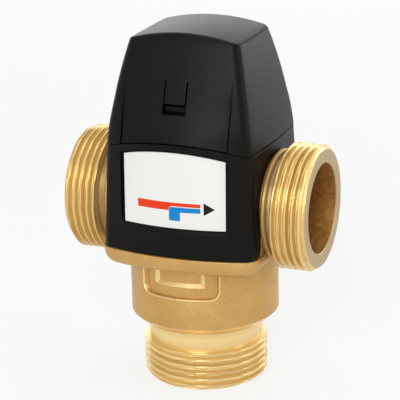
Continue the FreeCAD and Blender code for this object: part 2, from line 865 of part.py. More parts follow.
def hex_nut(label, flats, bore, bottom, height):
    """A hexagon nut about the Z axis."""
    body = new_body(label)
    sketch = new_sketch(body, f"{label}_outline", "XY_Plane", bottom)
    draw_hexagon(sketch, flats)
    draw_circle(sketch, ZERO, ZERO, bore)
    pad(body, f"{label}_blank", sketch, height, first=True)
    across = flats / math.sqrt(3)
    face = flats / 2
    rise = (across - face) * math.tan(math.radians(30))
    reach = across * 1.05
    top = bottom + height
    for end, level, inward in (("low", bottom, rise), ("high", top, -rise)):
        cone = new_sketch(body, f"{label}_{end}_bevel_section")
        corners = [(face, level), (reach, level), (reach, level + inward), (across, level + inward)]
        draw(cone, corners if end == "low" else corners[::-1])
        spin(body, f"{label}_{end}_bevel", cone, cut=True)
    return body


HOT_SEAL_RADIUS = S["hot_disc_radius"] - S["disc_rim"] - S["seal_width"]
COLD_SEAL_RADIUS = S["cold_disc_radius"] - S["disc_rim"] - S["seal_width"]


def valve_stem():
    """The element with its two discs, their seals and their nuts."""
    hot_bore = S["sleeve_radius"] + S["fit"]
    cold_bore = S["stud_radius"] + S["fit"]
    hot_back = HOT_DISC_BOTTOM + S["disc_thickness"]
    return [
        thermostat_capsule(),
        disc("hot_disc", hot_bore, S["hot_disc_radius"], HOT_DISC_BOTTOM, hot_back, HOT_SEAL_RADIUS),
        disc_seal("hot_disc_seal", HOT_SEAL_RADIUS, HOT_DISC_BOTTOM, HOT_SEAL_BOTTOM),
        hex_nut("hot_disc_nut", S["hot_nut_flats"], hot_bore, hot_back, S["disc_nut_height"]),
        disc("cold_disc", cold_bore, S["cold_disc_radius"], COLD_DISC_TOP, COLD_DISC_BOTTOM, COLD_SEAL_RADIUS),
        disc_seal("cold_disc_seal", COLD_SEAL_RADIUS, COLD_DISC_TOP, COLD_SEAL_TOP),
        hex_nut("cold_disc_nut", S["cold_nut_flats"], cold_bore,
                COLD_DISC_BOTTOM - S["disc_nut_height"], S["disc_nut_height"]),
    ]


# ------------------------------------------------- springs and their seats

def coil_spring(label, mean_radius, wire, bottom, top, turns):
    """A coil spring between two faces."""
    height = top - bottom - wire * 2 - S["fit"] * 2
    helix = doc.addObject("Part::Helix", f"{label}_line")
    bind(helix, "Radius", mean_radius)
    bind(helix, "Pitch", height / turns)
    bind(helix, "Height", height)
    bind(helix, "Placement.Base.z", bottom + wire + S["fit"])
    section = doc.addObject("Part::Circle", f"{label}_wire")
    bind(section, "Radius", wire)
    section.Placement = Placement(Vector(0, 0, 0), Rotation(Vector(1, 0, 0), 90))
    bind(section, "Placement.Base.x", mean_radius)
    bind(section, "Placement.Base.z", bottom + wire + S["fit"])
    spring = doc.addObject("Part::Sweep", label)
    spring.Sections = [section]
    doc.recompute()
    spring.Spine = (helix, [])
    spring.Solid = True
    spring.Frenet = True
    spring.Label = label
    return spring


def spring_cage():
    """The stamped plate with three windows and a guide hub at the foot of the spring."""
    body = new_body("spring_cage")
    section = new_sketch(body, "cage_section")
    bore = S["stud_radius"] + S["running_fit"]
    draw(section, [
        (bore, S["cage_bottom"]),
        (BORE_RADIUS - S["fit"], S["cage_bottom"]),
        (BORE_RADIUS - S["fit"], CAGE_TOP),
        (S["cage_hub_radius"], CAGE_TOP),
        (S["cage_hub_radius"], S["cage_bottom"] + S["cage_hub_height"]),
        (bore, S["cage_bottom"] + S["cage_hub_height"]),
    ])
    spin(body, "cage_turning", section, first=True)
    window = new_sketch(body, "cage_window_section")
    rim = BORE_RADIUS - S["cage_rim"]
    over = S["cage_thickness"] / 2
    draw(window, [
        (S["cage_plate_radius"], S["cage_bottom"] - over), (rim, S["cage_bottom"] - over),
        (rim, CAGE_TOP + over), (S["cage_plate_radius"], CAGE_TOP + over),
    ])
    cut = spin(body, "cage_window", window, angle=S["cage_window_angle"], cut=True)
    pattern = body.newObject("PartDesign::PolarPattern", "cage_windows")
    pattern.Originals = [cut]
    pattern.Axis = (window, ["V_Axis"])
    pattern.Angle = 360
    pattern.Occurrences = 3
    body.Tip = pattern
    return body


def spring_parts():
    """The return spring under the stem, its cage and the cage's retaining ring."""
    clip_outer = BORE_RADIUS + S["clip_seat"] * 1.8 - S["fit"]
    clip_bottom = S["cage_bottom"] - S["cage_clip_height"] + S["fit"]
    return [
        coil_spring("return_spring", S["return_radius"], S["return_wire"], CAGE_TOP, COLD_DISC_BOTTOM,
                    S["return_turns"]),
        spring_cage(),
        washer("cage_circlip", clip_outer - S["cage_clip_width"], clip_outer, clip_bottom,
               S["cage_bottom"] - S["fit"], as_size(320)),
    ]


# -------------------------------------------------------- bonnet and setting

def bonnet():
    """The turned brass bonnet with its hexagon, nut guide and spindle gland."""
    body = new_body("bonnet")
    bore = S["spindle_radius"] + S["running_fit"]
    shank = S["bonnet_thread_radius"] - S["fit"]
    flange_top = S["top_face"] + S["bonnet_flange"]
    section = new_sketch(body, "bonnet_section")
    groove = shank + S["gasket_groove"]
    bevel = S["nut_chamfer"]
    draw(section, [
        (bore, S["bonnet_bottom"]),
        (shank, S["bonnet_bottom"]),
        (shank, S["top_face"] + S["gasket_depth"]),
        (groove, S["top_face"] + S["gasket_depth"]),
        (groove, S["top_face"]),
        (S["bonnet_flange_radius"], S["top_face"]),
        (S["bonnet_flange_radius"], flange_top - bevel),
        (S["bonnet_flange_radius"] - bevel, flange_top),
        (S["bonnet_collar_radius"], flange_top),
        (S["bonnet_collar_radius"], ROOF - bevel),
        (S["bonnet_collar_radius"] - bevel, ROOF),
        (S["gland_radius"], ROOF),
        (S["gland_radius"], S["gland_top"] - bevel),
        (S["gland_radius"] - bevel, S["gland_top"]),
        (bore, S["gland_top"]),
    ])
    spin(body, "bonnet_turning", section, first=True)
    flats = new_sketch(body, "bonnet_hexagon", "XY_Plane", flange_top)
    draw_hexagon(flats, S["bonnet_flats"])
    draw_circle(flats, ZERO, ZERO, S["bonnet_collar_radius"] - bevel)
    pad(body, "bonnet_wrench_flats", flats, S["bonnet_hex_top"] - flange_top)
    guide = new_sketch(body, "nut_guide_outline", "XY_Plane", S["bonnet_bottom"])
    draw_hexagon(guide, S["nut_flats"] + S["running_fit"] * 2)
    pocket(body, "nut_guide", guide, S["guide_top"] - S["bonnet_bottom"], back=True)
    return body


def gasket():
    """The rubber ring under the bonnet's flange."""
    ring = doc.addObject("Part::Torus", "bonnet_o_ring")
    ring.Label = "bonnet_o_ring"
    bind(ring, "Radius1", S["bonnet_thread_radius"] - S["fit"] + S["gasket_groove"] / 2)
    bind(ring, "Radius2", S["gasket_wire"])
    bind(ring, "Placement.Base.z", S["top_face"] + S["gasket_wire"])
    return ring


def setting_nut():
    """The sliding nut: hexagon outside, drive thread above, spring cup below."""
    body = new_body("setting_nut")
    blank = new_sketch(body, "setting_nut_outline", "XY_Plane", S["nut_bottom"])
    draw_hexagon(blank, S["nut_flats"])
    pad(body, "setting_nut_blank", blank, S["nut_height"], first=True)
    inside = new_sketch(body, "setting_nut_section")
    thread = S["drive_thread_radius"] + S["running_fit"]
    groove_top = CLIP_BOTTOM + S["clip_width"] + S["clip_clearance"]
    under = S["nut_bottom"] - S["nut_chamfer"]
    over = S["nut_bottom"] + S["nut_height"] + S["nut_chamfer"]
    draw(inside, [
        (ZERO, under),
        (S["cup_radius"], under),
        (S["cup_radius"], CLIP_BOTTOM - S["clip_clearance"]),
        (S["cup_radius"] + S["clip_seat"], CLIP_BOTTOM - S["clip_clearance"]),
        (S["cup_radius"] + S["clip_seat"], groove_top),
        (S["cup_radius"], groove_top),
        (S["cup_radius"], CUP_TOP),
        (thread, CUP_TOP),
        (thread, over),
        (ZERO, over),
    ])
    spin(body, "setting_nut_bore", inside, cut=True)
    return body


def setting_parts():
    """The setting nut with its overtravel spring, plunger and retaining ring."""
    clip_outer = S["cup_radius"] + S["clip_seat"] - S["fit"]
    pin_hole = S["pin_radius"] + S["fit"]
    seat = PLUNGER_BOTTOM + S["pin_seat"]
    return [
        setting_nut(),
        coil_spring("overtravel_spring", S["cup_radius"] - S["spring_side_gap"] - S["overtravel_wire"],
                    S["overtravel_wire"], PLUNGER_TOP, CUP_TOP, S["overtravel_turns"]),
        turned("plunger", [
            (pin_hole, PLUNGER_BOTTOM),
            (S["plunger_radius"] - S["disc_rim"], PLUNGER_BOTTOM),
            (S["plunger_radius"], PLUNGER_BOTTOM + S["disc_rim"]),
            (S["plunger_radius"], PLUNGER_TOP),
            (ZERO, PLUNGER_TOP),
            (ZERO, seat),
            (pin_hole, seat),
        ]),
        washer("plunger_circlip", clip_outer - S["cage_clip_width"], clip_outer, CLIP_BOTTOM,
               CLIP_BOTTOM + S["clip_width"], as_size(300)),
        element_pin(),
    ]


RING_ONE = S["guide_top"] + S["bonnet_roof"]
RING_TWO = RING_ONE + S["ring_groove_pitch"]
SPINDLE_CLIP = S["gland_top"] + S["end_float"]
KNOB_SEAT = SPINDLE_CLIP + S["clip_width"] + S["clip_clearance"] * 2


def adjusting_spindle():
    """The spindle: drive thread, thrust shoulder, two ring grooves and a flatted end."""
    body = new_body("adjusting_spindle")
    shaft = S["spindle_radius"]
    groove = shaft - S["ring_groove_depth"]
    width = S["ring_groove_width"]
    clip_floor = shaft - S["clip_seat"]
    clip_top = SPINDLE_CLIP + S["clip_width"] + S["clip_clearance"]
    bevel = S["disc_rim"]
    section = new_sketch(body, "spindle_section")
    hole = S["screw_radius"] + S["fit"]
    hole_bottom = S["spindle_top"] - S["screw_length"]
    draw(section, [
        (ZERO, S["spindle_bottom"]),
        (S["drive_thread_radius"] - bevel, S["spindle_bottom"]),
        (S["drive_thread_radius"], S["spindle_bottom"] + bevel),
        (S["drive_thread_radius"], SHOULDER_TOP - S["spindle_shoulder"]),
        (S["spindle_shoulder_radius"], SHOULDER_TOP - S["spindle_shoulder"]),
        (S["spindle_shoulder_radius"], SHOULDER_TOP),
        (shaft, SHOULDER_TOP),
        (shaft, RING_ONE), (groove, RING_ONE), (groove, RING_ONE + width), (shaft, RING_ONE + width),
        (shaft, RING_TWO), (groove, RING_TWO), (groove, RING_TWO + width), (shaft, RING_TWO + width),
        (shaft, SPINDLE_CLIP - S["clip_clearance"]),
        (clip_floor, SPINDLE_CLIP - S["clip_clearance"]),
        (clip_floor, clip_top),
        (S["spindle_end_radius"], clip_top),
        (S["spindle_end_radius"], S["spindle_top"] - bevel),
        (S["spindle_end_radius"] - bevel, S["spindle_top"]),
        (hole, S["spindle_top"]),
        (hole, hole_bottom),
        (ZERO, hole_bottom),
    ])
    spin(body, "spindle_turning", section, first=True)
    flat = new_sketch(body, "spindle_flat_outline", "XY_Plane", KNOB_SEAT)
    reach = S["spindle_radius"] * 1.2
    draw(flat, [
        (S["spindle_flat"], -reach), (reach, -reach), (reach, reach), (S["spindle_flat"], reach),
    ])
    pocket(body, "spindle_flat", flat, S["spindle_top"] - KNOB_SEAT + S["fit"], back=True)
    return body


def spindle_o_rings():
    """The two rubber rings that seal the spindle in its gland."""
    rings = []
    mean = S["spindle_radius"] - S["ring_groove_depth"] + S["ring_wire"] + S["fit"]
    for name, bottom in (("lower_ring", RING_ONE), ("upper_ring", RING_TWO)):
        ring = doc.addObject("Part::Torus", name)
        bind(ring, "Radius1", mean)
        bind(ring, "Radius2", S["ring_wire"])
        bind(ring, "Placement.Base.z", bottom + S["ring_groove_width"] / 2)
        rings.append(ring)
    pair = doc.addObject("Part::Compound", "spindle_o_rings")
    pair.Links = rings
    pair.Label = "spindle_o_rings"
    return pair


def adjusting_knob():
    """The moulded knob: hub on the spindle, top plate and fluted skirt."""
    body = new_body("adjusting_knob")
    plate = S["spindle_top"] + S["fit"]
    head_seat = S["knob_top"] - S["screw_head_height"]
    bore = S["spindle_end_radius"] + S["fit"]
    hole = S["screw_radius"] + S["screw_clearance"]
    well = S["screw_head_radius"] + S["screw_clearance"]
    inner = S["knob_radius"] - S["knob_skirt"]
    section = new_sketch(body, "knob_section")
    draw(section, [
        (bore, KNOB_SEAT),
        (S["knob_hub_radius"], KNOB_SEAT),
        (S["knob_hub_radius"], plate),
        (inner, plate),
        (inner, S["knob_bottom"]),
        (S["knob_radius"], S["knob_bottom"]),
        (S["knob_radius"], S["knob_top"] - S["knob_bevel"]),
        (S["knob_radius"] - S["knob_bevel"], S["knob_top"]),
        (well, S["knob_top"]),
        (well, head_seat),
        (hole, head_seat),
        (hole, plate),
        (bore, plate),
    ])
    spin(body, "knob_turning", section, first=True)
    flute = new_sketch(body, "flute_outline", "XY_Plane", S["knob_bottom"])
    draw_circle(flute, S["knob_radius"] + S["flute_radius"] / 2, ZERO, S["flute_radius"])
    cut = pocket(body, "flute", flute, S["knob_top"] - S["knob_bottom"] - S["knob_bevel"], back=True)
    pattern = body.newObject("PartDesign::PolarPattern", "flutes")
    pattern.Originals = [cut]
    pattern.Axis = (section, ["V_Axis"])
    pattern.Angle = 360
    bind(pattern, "Occurrences", S["knob_flutes"])
    body.Tip = pattern
    return body


def knob_screw():
    """The socket screw that holds the knob on the spindle."""
    body = new_body("knob_screw")
    head_seat = S["knob_top"] - S["screw_head_height"]
    bevel = S["disc_rim"]
    tip = S["spindle_top"] - S["screw_length"] + S["screw_clearance"]
    section = new_sketch(body, "screw_section")
    draw(section, [
        (ZERO, tip),
        (S["screw_radius"], tip),
        (S["screw_radius"], head_seat),
        (S["screw_head_radius"], head_seat),
        (S["screw_head_radius"], S["knob_top"] - bevel),
        (S["screw_head_radius"] - bevel, S["knob_top"]),
        (ZERO, S["knob_top"]),
    ])
    spin(body, "screw_turning", section, first=True)
    socket = new_sketch(body, "screw_socket_outline", "XY_Plane", S["knob_top"])
    draw_hexagon(socket, S["screw_socket"])
    pocket(body, "screw_socket", socket, S["screw_head_height"] * 0.7)
    return body


def knob_parts():
    """Everything that turns with the knob."""
    shaft = S["spindle_radius"] - S["clip_seat"] + S["fit"]
    return [
        adjusting_spindle(),
        spindle_o_rings(),
        washer("spindle_circlip", shaft, S["spindle_clip_radius"], SPINDLE_CLIP,
               SPINDLE_CLIP + S["clip_width"], as_size(300)),
        adjusting_knob(),
        knob_screw(),
    ]


# ----------------------------------------------------------------- cover

def loft(label, sections):
    """A body lofted through plan sections, each with its height and its five sizes."""
    body = new_body(label)
    sketches = []
    for number, (height, *sizes) in enumerate(sections, start=1):
        sketch = new_sketch(body, f"{label}_plan_{number}", "XY_Plane", height)
        draw_section(sketch, *sizes)
        sketches.append(sketch)
    feature = body.newObject("PartDesign::AdditiveLoft", f"{label}_loft")
    feature.Profile = sketches[0]
    feature.Sections = sketches[1:]
    feature.Ruled = False
    doc.recompute()
    return body


def shell_sections(inset, low, high):
    """Two plan sections of the lower shell, drawn in by an inset, at two heights."""
    span = S["waist_height"] - S["cover_foot"]
    taper = (S["foot_half_width"] - S["waist_half_width"]) / span
    crowning = (S["foot_front_radius"] - S["waist_front_radius"]) / span
    sections = []
    for height in (as_size(low), as_size(high)):
        rise = height - S["cover_foot"]
        half_width = S["foot_half_width"] - taper * rise - inset
        front = S["foot_front_radius"] - crowning * rise - inset
        sections.append((height, half_width, S["cover_depth"] - inset, front,
                         S["side_radius"] - inset, S["cover_corner"] - inset))
    return sections


def cap_sections(inset, sink=ZERO):
    """Three plan sections of the cap, drawn in by an inset and sunk more at the front.

    The sink is full at the base and fades to nothing at the top of the band.
    """
    inset = as_size(inset)
    fade = (S["band_top"] - S["cap_mid_height"]) / (S["band_top"] - S["waist_height"])
    rest = S["cap_top_height"] - S["band_top"]
    past = rest / (S["band_top"] - S["waist_height"])
    rows = [
        (S["waist_height"], S["waist_half_width"], S["cap_base_depth"], S["cap_base_front"],
         S["cover_corner"], as_size(1)),
        (S["cap_mid_height"], S["cap_mid_half_width"], S["cap_mid_depth"], S["cap_mid_front"],
         (S["cover_corner"] + S["cap_top_corner"]) / 2, fade),
        (S["cap_top_height"], S["cap_top_half_width"], S["cap_top_depth"], S["cap_top_front"],
         S["cap_top_corner"], -past),
    ]
    sections = []
    for height, half_width, depth, front, corner, share in rows:
        pull = inset + sink * share
        sections.append((height, half_width - inset, depth - pull, front - pull,
                         S["side_radius"] - inset, corner - inset))
    return sections


def cut_along_arch(body, name, top, radius, keep_below):
    """Cut a body along an arch that runs from side to side.

    Args:
        body: the body to cut.
        name: the cut's name.
        top: height of the arch at the middle.
        radius: radius of the arch.
        keep_below: true to keep what lies under the arch.
    """
    outline = new_sketch(body, f"{name}_outline")
    reach = S["foot_half_width"] * 1.2
    edge = top - radius + square_root(radius * radius - reach * reach)
    far = S["crown_height"] * 1.2 if keep_below else S["cover_foot"] * 0.8
    if keep_below:
        corners = [(-reach, edge), (reach, edge, radius, -1), (reach, far), (-reach, far)]
    else:
        corners = [(reach, edge), (-reach, edge, radius, 1), (-reach, far), (reach, far)]
    draw(outline, corners)
    pocket(body, name, outline, S["cover_depth"] * 3, both=True)


def slab(name, outline_points, low, high):
    """A solid with an outline in the XZ plane, between two depths along Y."""
    body = new_body(name)
    outline = new_sketch(body, f"{name}_outline", lift=-as_size(high))
    draw(outline, outline_points)
    pad(body, f"{name}_pad", outline, as_size(high) - as_size(low), first=True)
    return body


def shell_core(name, inset):
    """The lower shell's outer form drawn in by an inset, for the label and its recess."""
    return loft(name, shell_sections(inset, S["cover_foot"], PARTING_TOP + S["cover_wall"]))


def label_outline(half_width, bottom, rise):
    """The label's outline: straight foot and sides, arched head."""
    radius = S["label_arch"] + rise
    head = S["label_top"] + rise
    return [(-half_width, bottom), (half_width, bottom), (half_width, head), (-half_width, head, radius, 1)]


def label_plate():
    """The thin label on the floor of its recess."""
    front = -S["cover_depth"] * 1.1
    back = -S["cover_depth"] / 2
    outline = slab("label_blank", label_outline(S["label_half_width"], S["label_bottom"], ZERO), front, back)
    face = shell_core("label_face", S["label_recess"] - S["label_thickness"])
    base = shell_core("label_base", S["label_recess"] - S["fit"])
    faced = boolean("Common", "label_faced", outline, face)
    return boolean("Cut", "label_plate", faced, base)


def lower_shell():
    """The lower half of the cover: four legs, side arches, deck and label recess."""
    body = loft("shell_outside", shell_sections(ZERO, S["cover_foot"], PARTING_TOP + S["cover_wall"]))
    cut_along_arch(body, "shell_parting", PARTING_TOP, S["parting_radius"], True)

    inside = loft("shell_inside", shell_sections(S["cover_wall"], S["cover_foot"] - S["cover_wall"],
                                                 S["shoulder_height"] + S["deck_gap"] / 2))
    rim = loft("shell_rim", shell_sections(S["cover_wall"], DECK_TOP, PARTING_TOP + S["cover_wall"] * 2))
    hollow = boolean("Cut", "shell_hollow", body, inside)
    rimmed = boolean("Cut", "shell_rimmed", hollow, rim)

    hole = doc.addObject("Part::Cylinder", "deck_hole")
    bind(hole, "Radius", S["top_neck_radius"] + S["deck_gap"])
    bind(hole, "Height", S["crown_height"])
    decked = boolean("Cut", "shell_decked", rimmed, hole)

    arch = new_body("side_arch")
    outline = new_sketch(arch, "side_arch_outline", "YZ_Plane")
    half = S["neck_radius"] + S["arch_gap"]
    foot = S["cover_foot"] - S["cover_wall"]
    leg = S["cover_foot"] + S["leg_round"]
    wide = half + S["leg_round"]
    draw(outline, [
        (half, S["axis_height"]),
        (ZERO, S["axis_height"] + half, half, 1),
        (-half, S["axis_height"], half, 1),
        (-half, leg),
        (-wide, S["cover_foot"], S["leg_round"], -1),
        (-wide, foot),
        (wide, foot),
        (wide, S["cover_foot"]),
        (half, leg, S["leg_round"], -1),
    ])
    pad(arch, "side_arch_pad", outline, S["foot_half_width"] * 3, both=True, first=True)
    arched = boolean("Cut", "shell_arched", decked, arch)

    margin = S["label_margin"]
    front = -S["cover_depth"] * 1.1
    outline = label_outline(S["label_half_width"] + margin, S["label_bottom"] - margin / 4, margin / 2)
    frame = slab("label_frame", outline, front, -S["cover_depth"] / 2)
    floor = shell_core("label_floor", S["label_recess"])
    recess = boolean("Cut", "label_recess", frame, floor)
    labelled = boolean("Cut", "shell_labelled", arched, recess)

    post_back = POST_FACE + S["post_thickness"]
    nose_top = S["window_top"] - S["post_gap"]
    post = block("latch_post", (-S["post_half_width"], S["post_half_width"]), (POST_FACE, post_back),
                 (S["shoulder_height"] + S["deck_thickness"] / 2, nose_top))
    nose = block("latch_nose", (-S["post_half_width"], S["post_half_width"]),
                 (POST_FACE - S["nose_reach"], POST_FACE + S["fit"]), (nose_top - S["nose_height"], nose_top))
    latch = boolean("Fuse", "latch", post, nose)
    return boolean("Fuse", "lower_shell", labelled, latch)


def cap_wall_at(height):
    """Reach along -Y of the cap's inner face at a height, on the straight line of its sections."""
    lean = (S["cap_base_depth"] - S["cap_mid_depth"]) / (S["cap_mid_height"] - S["waist_height"])
    return S["cap_base_depth"] - lean * (height - S["waist_height"]) - S["cover_wall"]


POST_FACE = -(cap_wall_at(S["window_top"]) - S["post_gap"])


def cap():
    """The lift-off cap: a crowned hood with sunk bands, a locating lip and a latch tongue."""
    body = loft("cap_outside", cap_sections(ZERO))
    cut_along_arch(body, "crown", S["crown_height"], S["crown_radius"], True)
    crown = S["crown_height"].value
    low_edge = S["cap_mid_height"].value

    def is_crown_edge(edge):
        """An edge round the top face."""
        return edge.CenterOfMass.z > low_edge + (crown - low_edge) / 2 and edge.BoundBox.ZLength < 5

    dress(body, "Fillet", "crown_edges", edges_where(solid_of(body), is_crown_edge), S["crown_edge"])
    cut_along_arch(body, "cap_parting", PARTING_TOP + S["parting_gap"], S["parting_radius"], False)

    core = loft("cap_inside", cap_sections(S["cover_wall"]))
    cut_along_arch(core, "ceiling_arch", S["crown_height"] - S["cover_wall"],
                   S["crown_radius"] - S["cover_wall"], True)
    hood = boolean("Cut", "cap_hollow", body, core)

    band_space = block("band_space", (-S["band_half_width"], S["band_half_width"]),
                       (-S["cover_depth"] * 1.2, S["cover_depth"] * 1.2), (S["cover_foot"], S["band_top"]))
    band_face = loft("band_face", cap_sections(ZERO, S["band_sink"]))
    bands = boolean("Cut", "bands", band_space, band_face)
    banded = boolean("Cut", "cap_banded", hood, bands)

    front = -S["cover_depth"] * 1.2
    back = -S["cap_top_depth"] * 0.9
    half = S["window_half_width"]
    window = block("window", (-half, half), (front, back), (S["window_bottom"], S["window_top"]))
    left = block("left_slit", (-half, S["slit_width"] - half), (front, back),
                 (S["window_bottom"], S["slit_top"]))
    right = block("right_slit", (half - S["slit_width"], half), (front, back),
                  (S["window_bottom"], S["slit_top"]))
    slits = boolean("Fuse", "slits", left, right)
    latch = boolean("Fuse", "latch_cut", window, slits)
    return boolean("Cut", "cap", banded, latch)


# ------------------------------------------------------------------ model

def build():
    """Make every piece, check the document and return the pieces in order."""
    pieces = [valve_body(), hot_seat_ring(), cold_seat_ring()]
    pieces += valve_stem()
    pieces += spring_parts()
    pieces += [bonnet(), gasket()]
    pieces += setting_parts()
    pieces += knob_parts()
    pieces += [lower_shell(), label_plate(), cap()]
    doc.recompute()
    return pieces


def check(pieces):
    """Stop unless every object is sound and every piece is a valid solid."""
    for item in doc.Objects:
        if "Invalid" in item.State or "Error" in item.State:
            raise RuntimeError(f"{item.Name} failed: {item.State}")
    for piece in pieces:
        shape = piece.Shape
        if shape.isNull() or not shape.isValid() or not shape.Solids:
            raise RuntimeError(f"{piece.Label} is not a valid solid")


def write(pieces):
    """Write one STEP file for each piece."""
    os.makedirs("parts", exist_ok=True)
    for piece in pieces:
        piece.Shape.exportStep(f"parts/{piece.Label}.step")
        box = piece.Shape.BoundBox
        print(f"{piece.Label:20s} {len(piece.Shape.Solids)} {piece.Shape.Volume / 1000:8.3f} cm3"
              f"  x {box.XMin:7.2f} {box.XMax:7.2f}  y {box.YMin:7.2f} {box.YMax:7.2f}"
              f"  z {box.ZMin:7.2f} {box.ZMax:7.2f}")


PIECES = build()
check(PIECES)
write(PIECES)
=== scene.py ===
"""Looks of a three-way mixing valve: cast brass body, black moulded cover and its inner parts.

Everything is in metres, in the row frame: +Z up from the bottom port's end face,
+X towards the mixed port, -Y towards the label.
"""

import json
import logging
import math
from dataclasses import dataclass, field, replace
from enum import Enum

import bmesh
import bpy
from mathutils import Matrix, Vector
from mathutils.bvhtree import BVHTree


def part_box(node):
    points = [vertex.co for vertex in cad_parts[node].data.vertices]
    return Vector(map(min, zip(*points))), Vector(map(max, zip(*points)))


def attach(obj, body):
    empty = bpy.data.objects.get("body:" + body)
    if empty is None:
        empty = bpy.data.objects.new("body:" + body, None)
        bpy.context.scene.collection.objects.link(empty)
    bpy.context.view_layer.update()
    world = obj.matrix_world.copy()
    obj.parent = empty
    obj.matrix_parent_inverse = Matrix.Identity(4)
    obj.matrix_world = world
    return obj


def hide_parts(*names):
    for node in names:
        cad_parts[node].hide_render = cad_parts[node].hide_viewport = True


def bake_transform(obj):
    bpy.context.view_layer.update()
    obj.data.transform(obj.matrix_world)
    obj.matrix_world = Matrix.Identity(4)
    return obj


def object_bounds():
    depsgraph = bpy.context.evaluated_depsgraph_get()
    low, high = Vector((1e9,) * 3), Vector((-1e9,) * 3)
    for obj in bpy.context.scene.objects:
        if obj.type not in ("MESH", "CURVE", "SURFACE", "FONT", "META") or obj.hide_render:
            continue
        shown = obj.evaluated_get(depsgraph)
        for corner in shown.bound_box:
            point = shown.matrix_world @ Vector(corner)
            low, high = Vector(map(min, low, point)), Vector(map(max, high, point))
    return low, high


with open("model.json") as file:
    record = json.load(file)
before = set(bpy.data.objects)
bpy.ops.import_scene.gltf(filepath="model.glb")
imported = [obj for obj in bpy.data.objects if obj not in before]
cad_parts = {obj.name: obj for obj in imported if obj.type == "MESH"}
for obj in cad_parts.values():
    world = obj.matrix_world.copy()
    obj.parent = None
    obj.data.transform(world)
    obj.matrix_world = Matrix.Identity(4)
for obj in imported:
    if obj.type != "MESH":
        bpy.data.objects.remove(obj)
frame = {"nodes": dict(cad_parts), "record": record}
CAD_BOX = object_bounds()

LOG = logging.getLogger("mixing_valve")
MM = 0.001
WHITE = (1.0, 1.0, 1.0, 1.0)
FLAT_ANGLE = math.radians(0.05)     # facets that turn by less than this are one face
WELD = 0.0005 * MM                  # corners of a CAD mesh closer than this are one
ON_PLANE = 0.001 * MM               # a corner this close to a cut lies on it

Colour = tuple[float, float, float, float]


# ---------------------------------------------------------------- small sums

def clamped(value: float) -> float:
    """A value held between 0 and 1."""
    return min(max(value, 0.0), 1.0)


def eased(share: float) -> float:
    """A share from 0 to 1 that starts and ends softly."""
    return share * share * (3 - 2 * share)


def radius_of(place: Vector) -> float:
    """Distance of a place from the Z axis."""
    return math.hypot(place.x, place.y)


def bearing_of(place: Vector) -> float:
    """Angle of a place about Z from the front, in radians, positive towards +X."""
    return math.atan2(place.x, -place.y)


def linear(red: int, green: int, blue: int) -> Colour:
    """A display colour as linear light with full alpha.

    Args:
        red: red from 0 to 255.
        green: green from 0 to 255.
        blue: blue from 0 to 255.

    Returns:
        The colour.
    """
    def channel(value: int) -> float:
        """One channel as linear light, by the usual display curve."""
        share = value / 255
        return share / 12.92 if share <= 0.04045 else ((share + 0.055) / 1.055) ** 2.4
    return (channel(red), channel(green), channel(blue), 1.0)


class Axis(Enum):
    """The axis that a lathe turned a face about."""
    X = "x"
    Z = "z"


# ------------------------------------------------------------- node groups

class NodeSheet:
    """A node tree with short calls to add and join its nodes."""

    def __init__(self, tree: bpy.types.NodeTree) -> None:
        """Start from an empty or a new tree.

        Args:
            tree: the node tree to work in.
        """
        self.tree = tree

    def add(self, kind: str, **settings: object) -> bpy.types.Node:
        """Add a node.

        Args:
            kind: the node's class, without its leading ShaderNode.
            settings: properties of the node, or its inputs with a name that starts with in_.

        Returns:
            The new node.
        """
        node = self.tree.nodes.new(kind if kind.startswith("NodeGroup") else f"ShaderNode{kind}")
        for name, value in settings.items():
            if name.startswith("in_"):
                self.socket(node, name[3:].replace("_", " ")).default_value = value
            else:
                setattr(node, name, value)
        return node

    @staticmethod
    def socket(node: bpy.types.Node, name: str) -> bpy.types.NodeSocket:
        """An input by its name, or by its number when the name is one."""
        return node.inputs[int(name)] if name.isdigit() else node.inputs[name]

    def join(self, source: bpy.types.NodeSocket, target: bpy.types.NodeSocket) -> None:
        """Link an output to an input."""
        self.tree.links.new(source, target)

    def maths(self, operation: str, *values: object) -> bpy.types.NodeSocket:
        """Add a Math node on sockets or numbers.

        Args:
            operation: the node's operation, such as MULTIPLY.
            values: up to three sockets or numbers.

        Returns:
            Its output.
        """
        node = self.add("Math", operation=operation)
        for number, value in enumerate(values):
            if isinstance(value, bpy.types.NodeSocket):
                self.join(value, node.inputs[number])
            else:
                node.inputs[number].default_value = value
        return node.outputs[0]

    def spread(self, value: bpy.types.NodeSocket, low: float, high: float,
               to_low: float = 0.0, to_high: float = 1.0) -> bpy.types.NodeSocket:
        """Map a value from one range onto another, clamped.

        Args:
            value: what is mapped.
            low: the value that gives to_low.
            high: the value that gives to_high.
            to_low: start of the new range.
            to_high: end of the new range.

        Returns:
            The mapped value.
        """
        node = self.add("MapRange", in_1=low, in_2=high, in_3=to_low, in_4=to_high)
        self.join(value, node.inputs[0])
        return node.outputs[0]

    def blend(self, factor: bpy.types.NodeSocket, low: Colour,
              high: Colour) -> bpy.types.NodeSocket:
        """Mix two colours by a factor.

        Args:
            factor: 0 for the first colour and 1 for the second.
            low: the first colour.
            high: the second colour.

        Returns:
            The mixed colour.
        """
        node = self.add("Mix", data_type="RGBA")
        self.join(factor, node.inputs[0])
        node.inputs[6].default_value = low
        node.inputs[7].default_value = high
        return node.outputs[2]


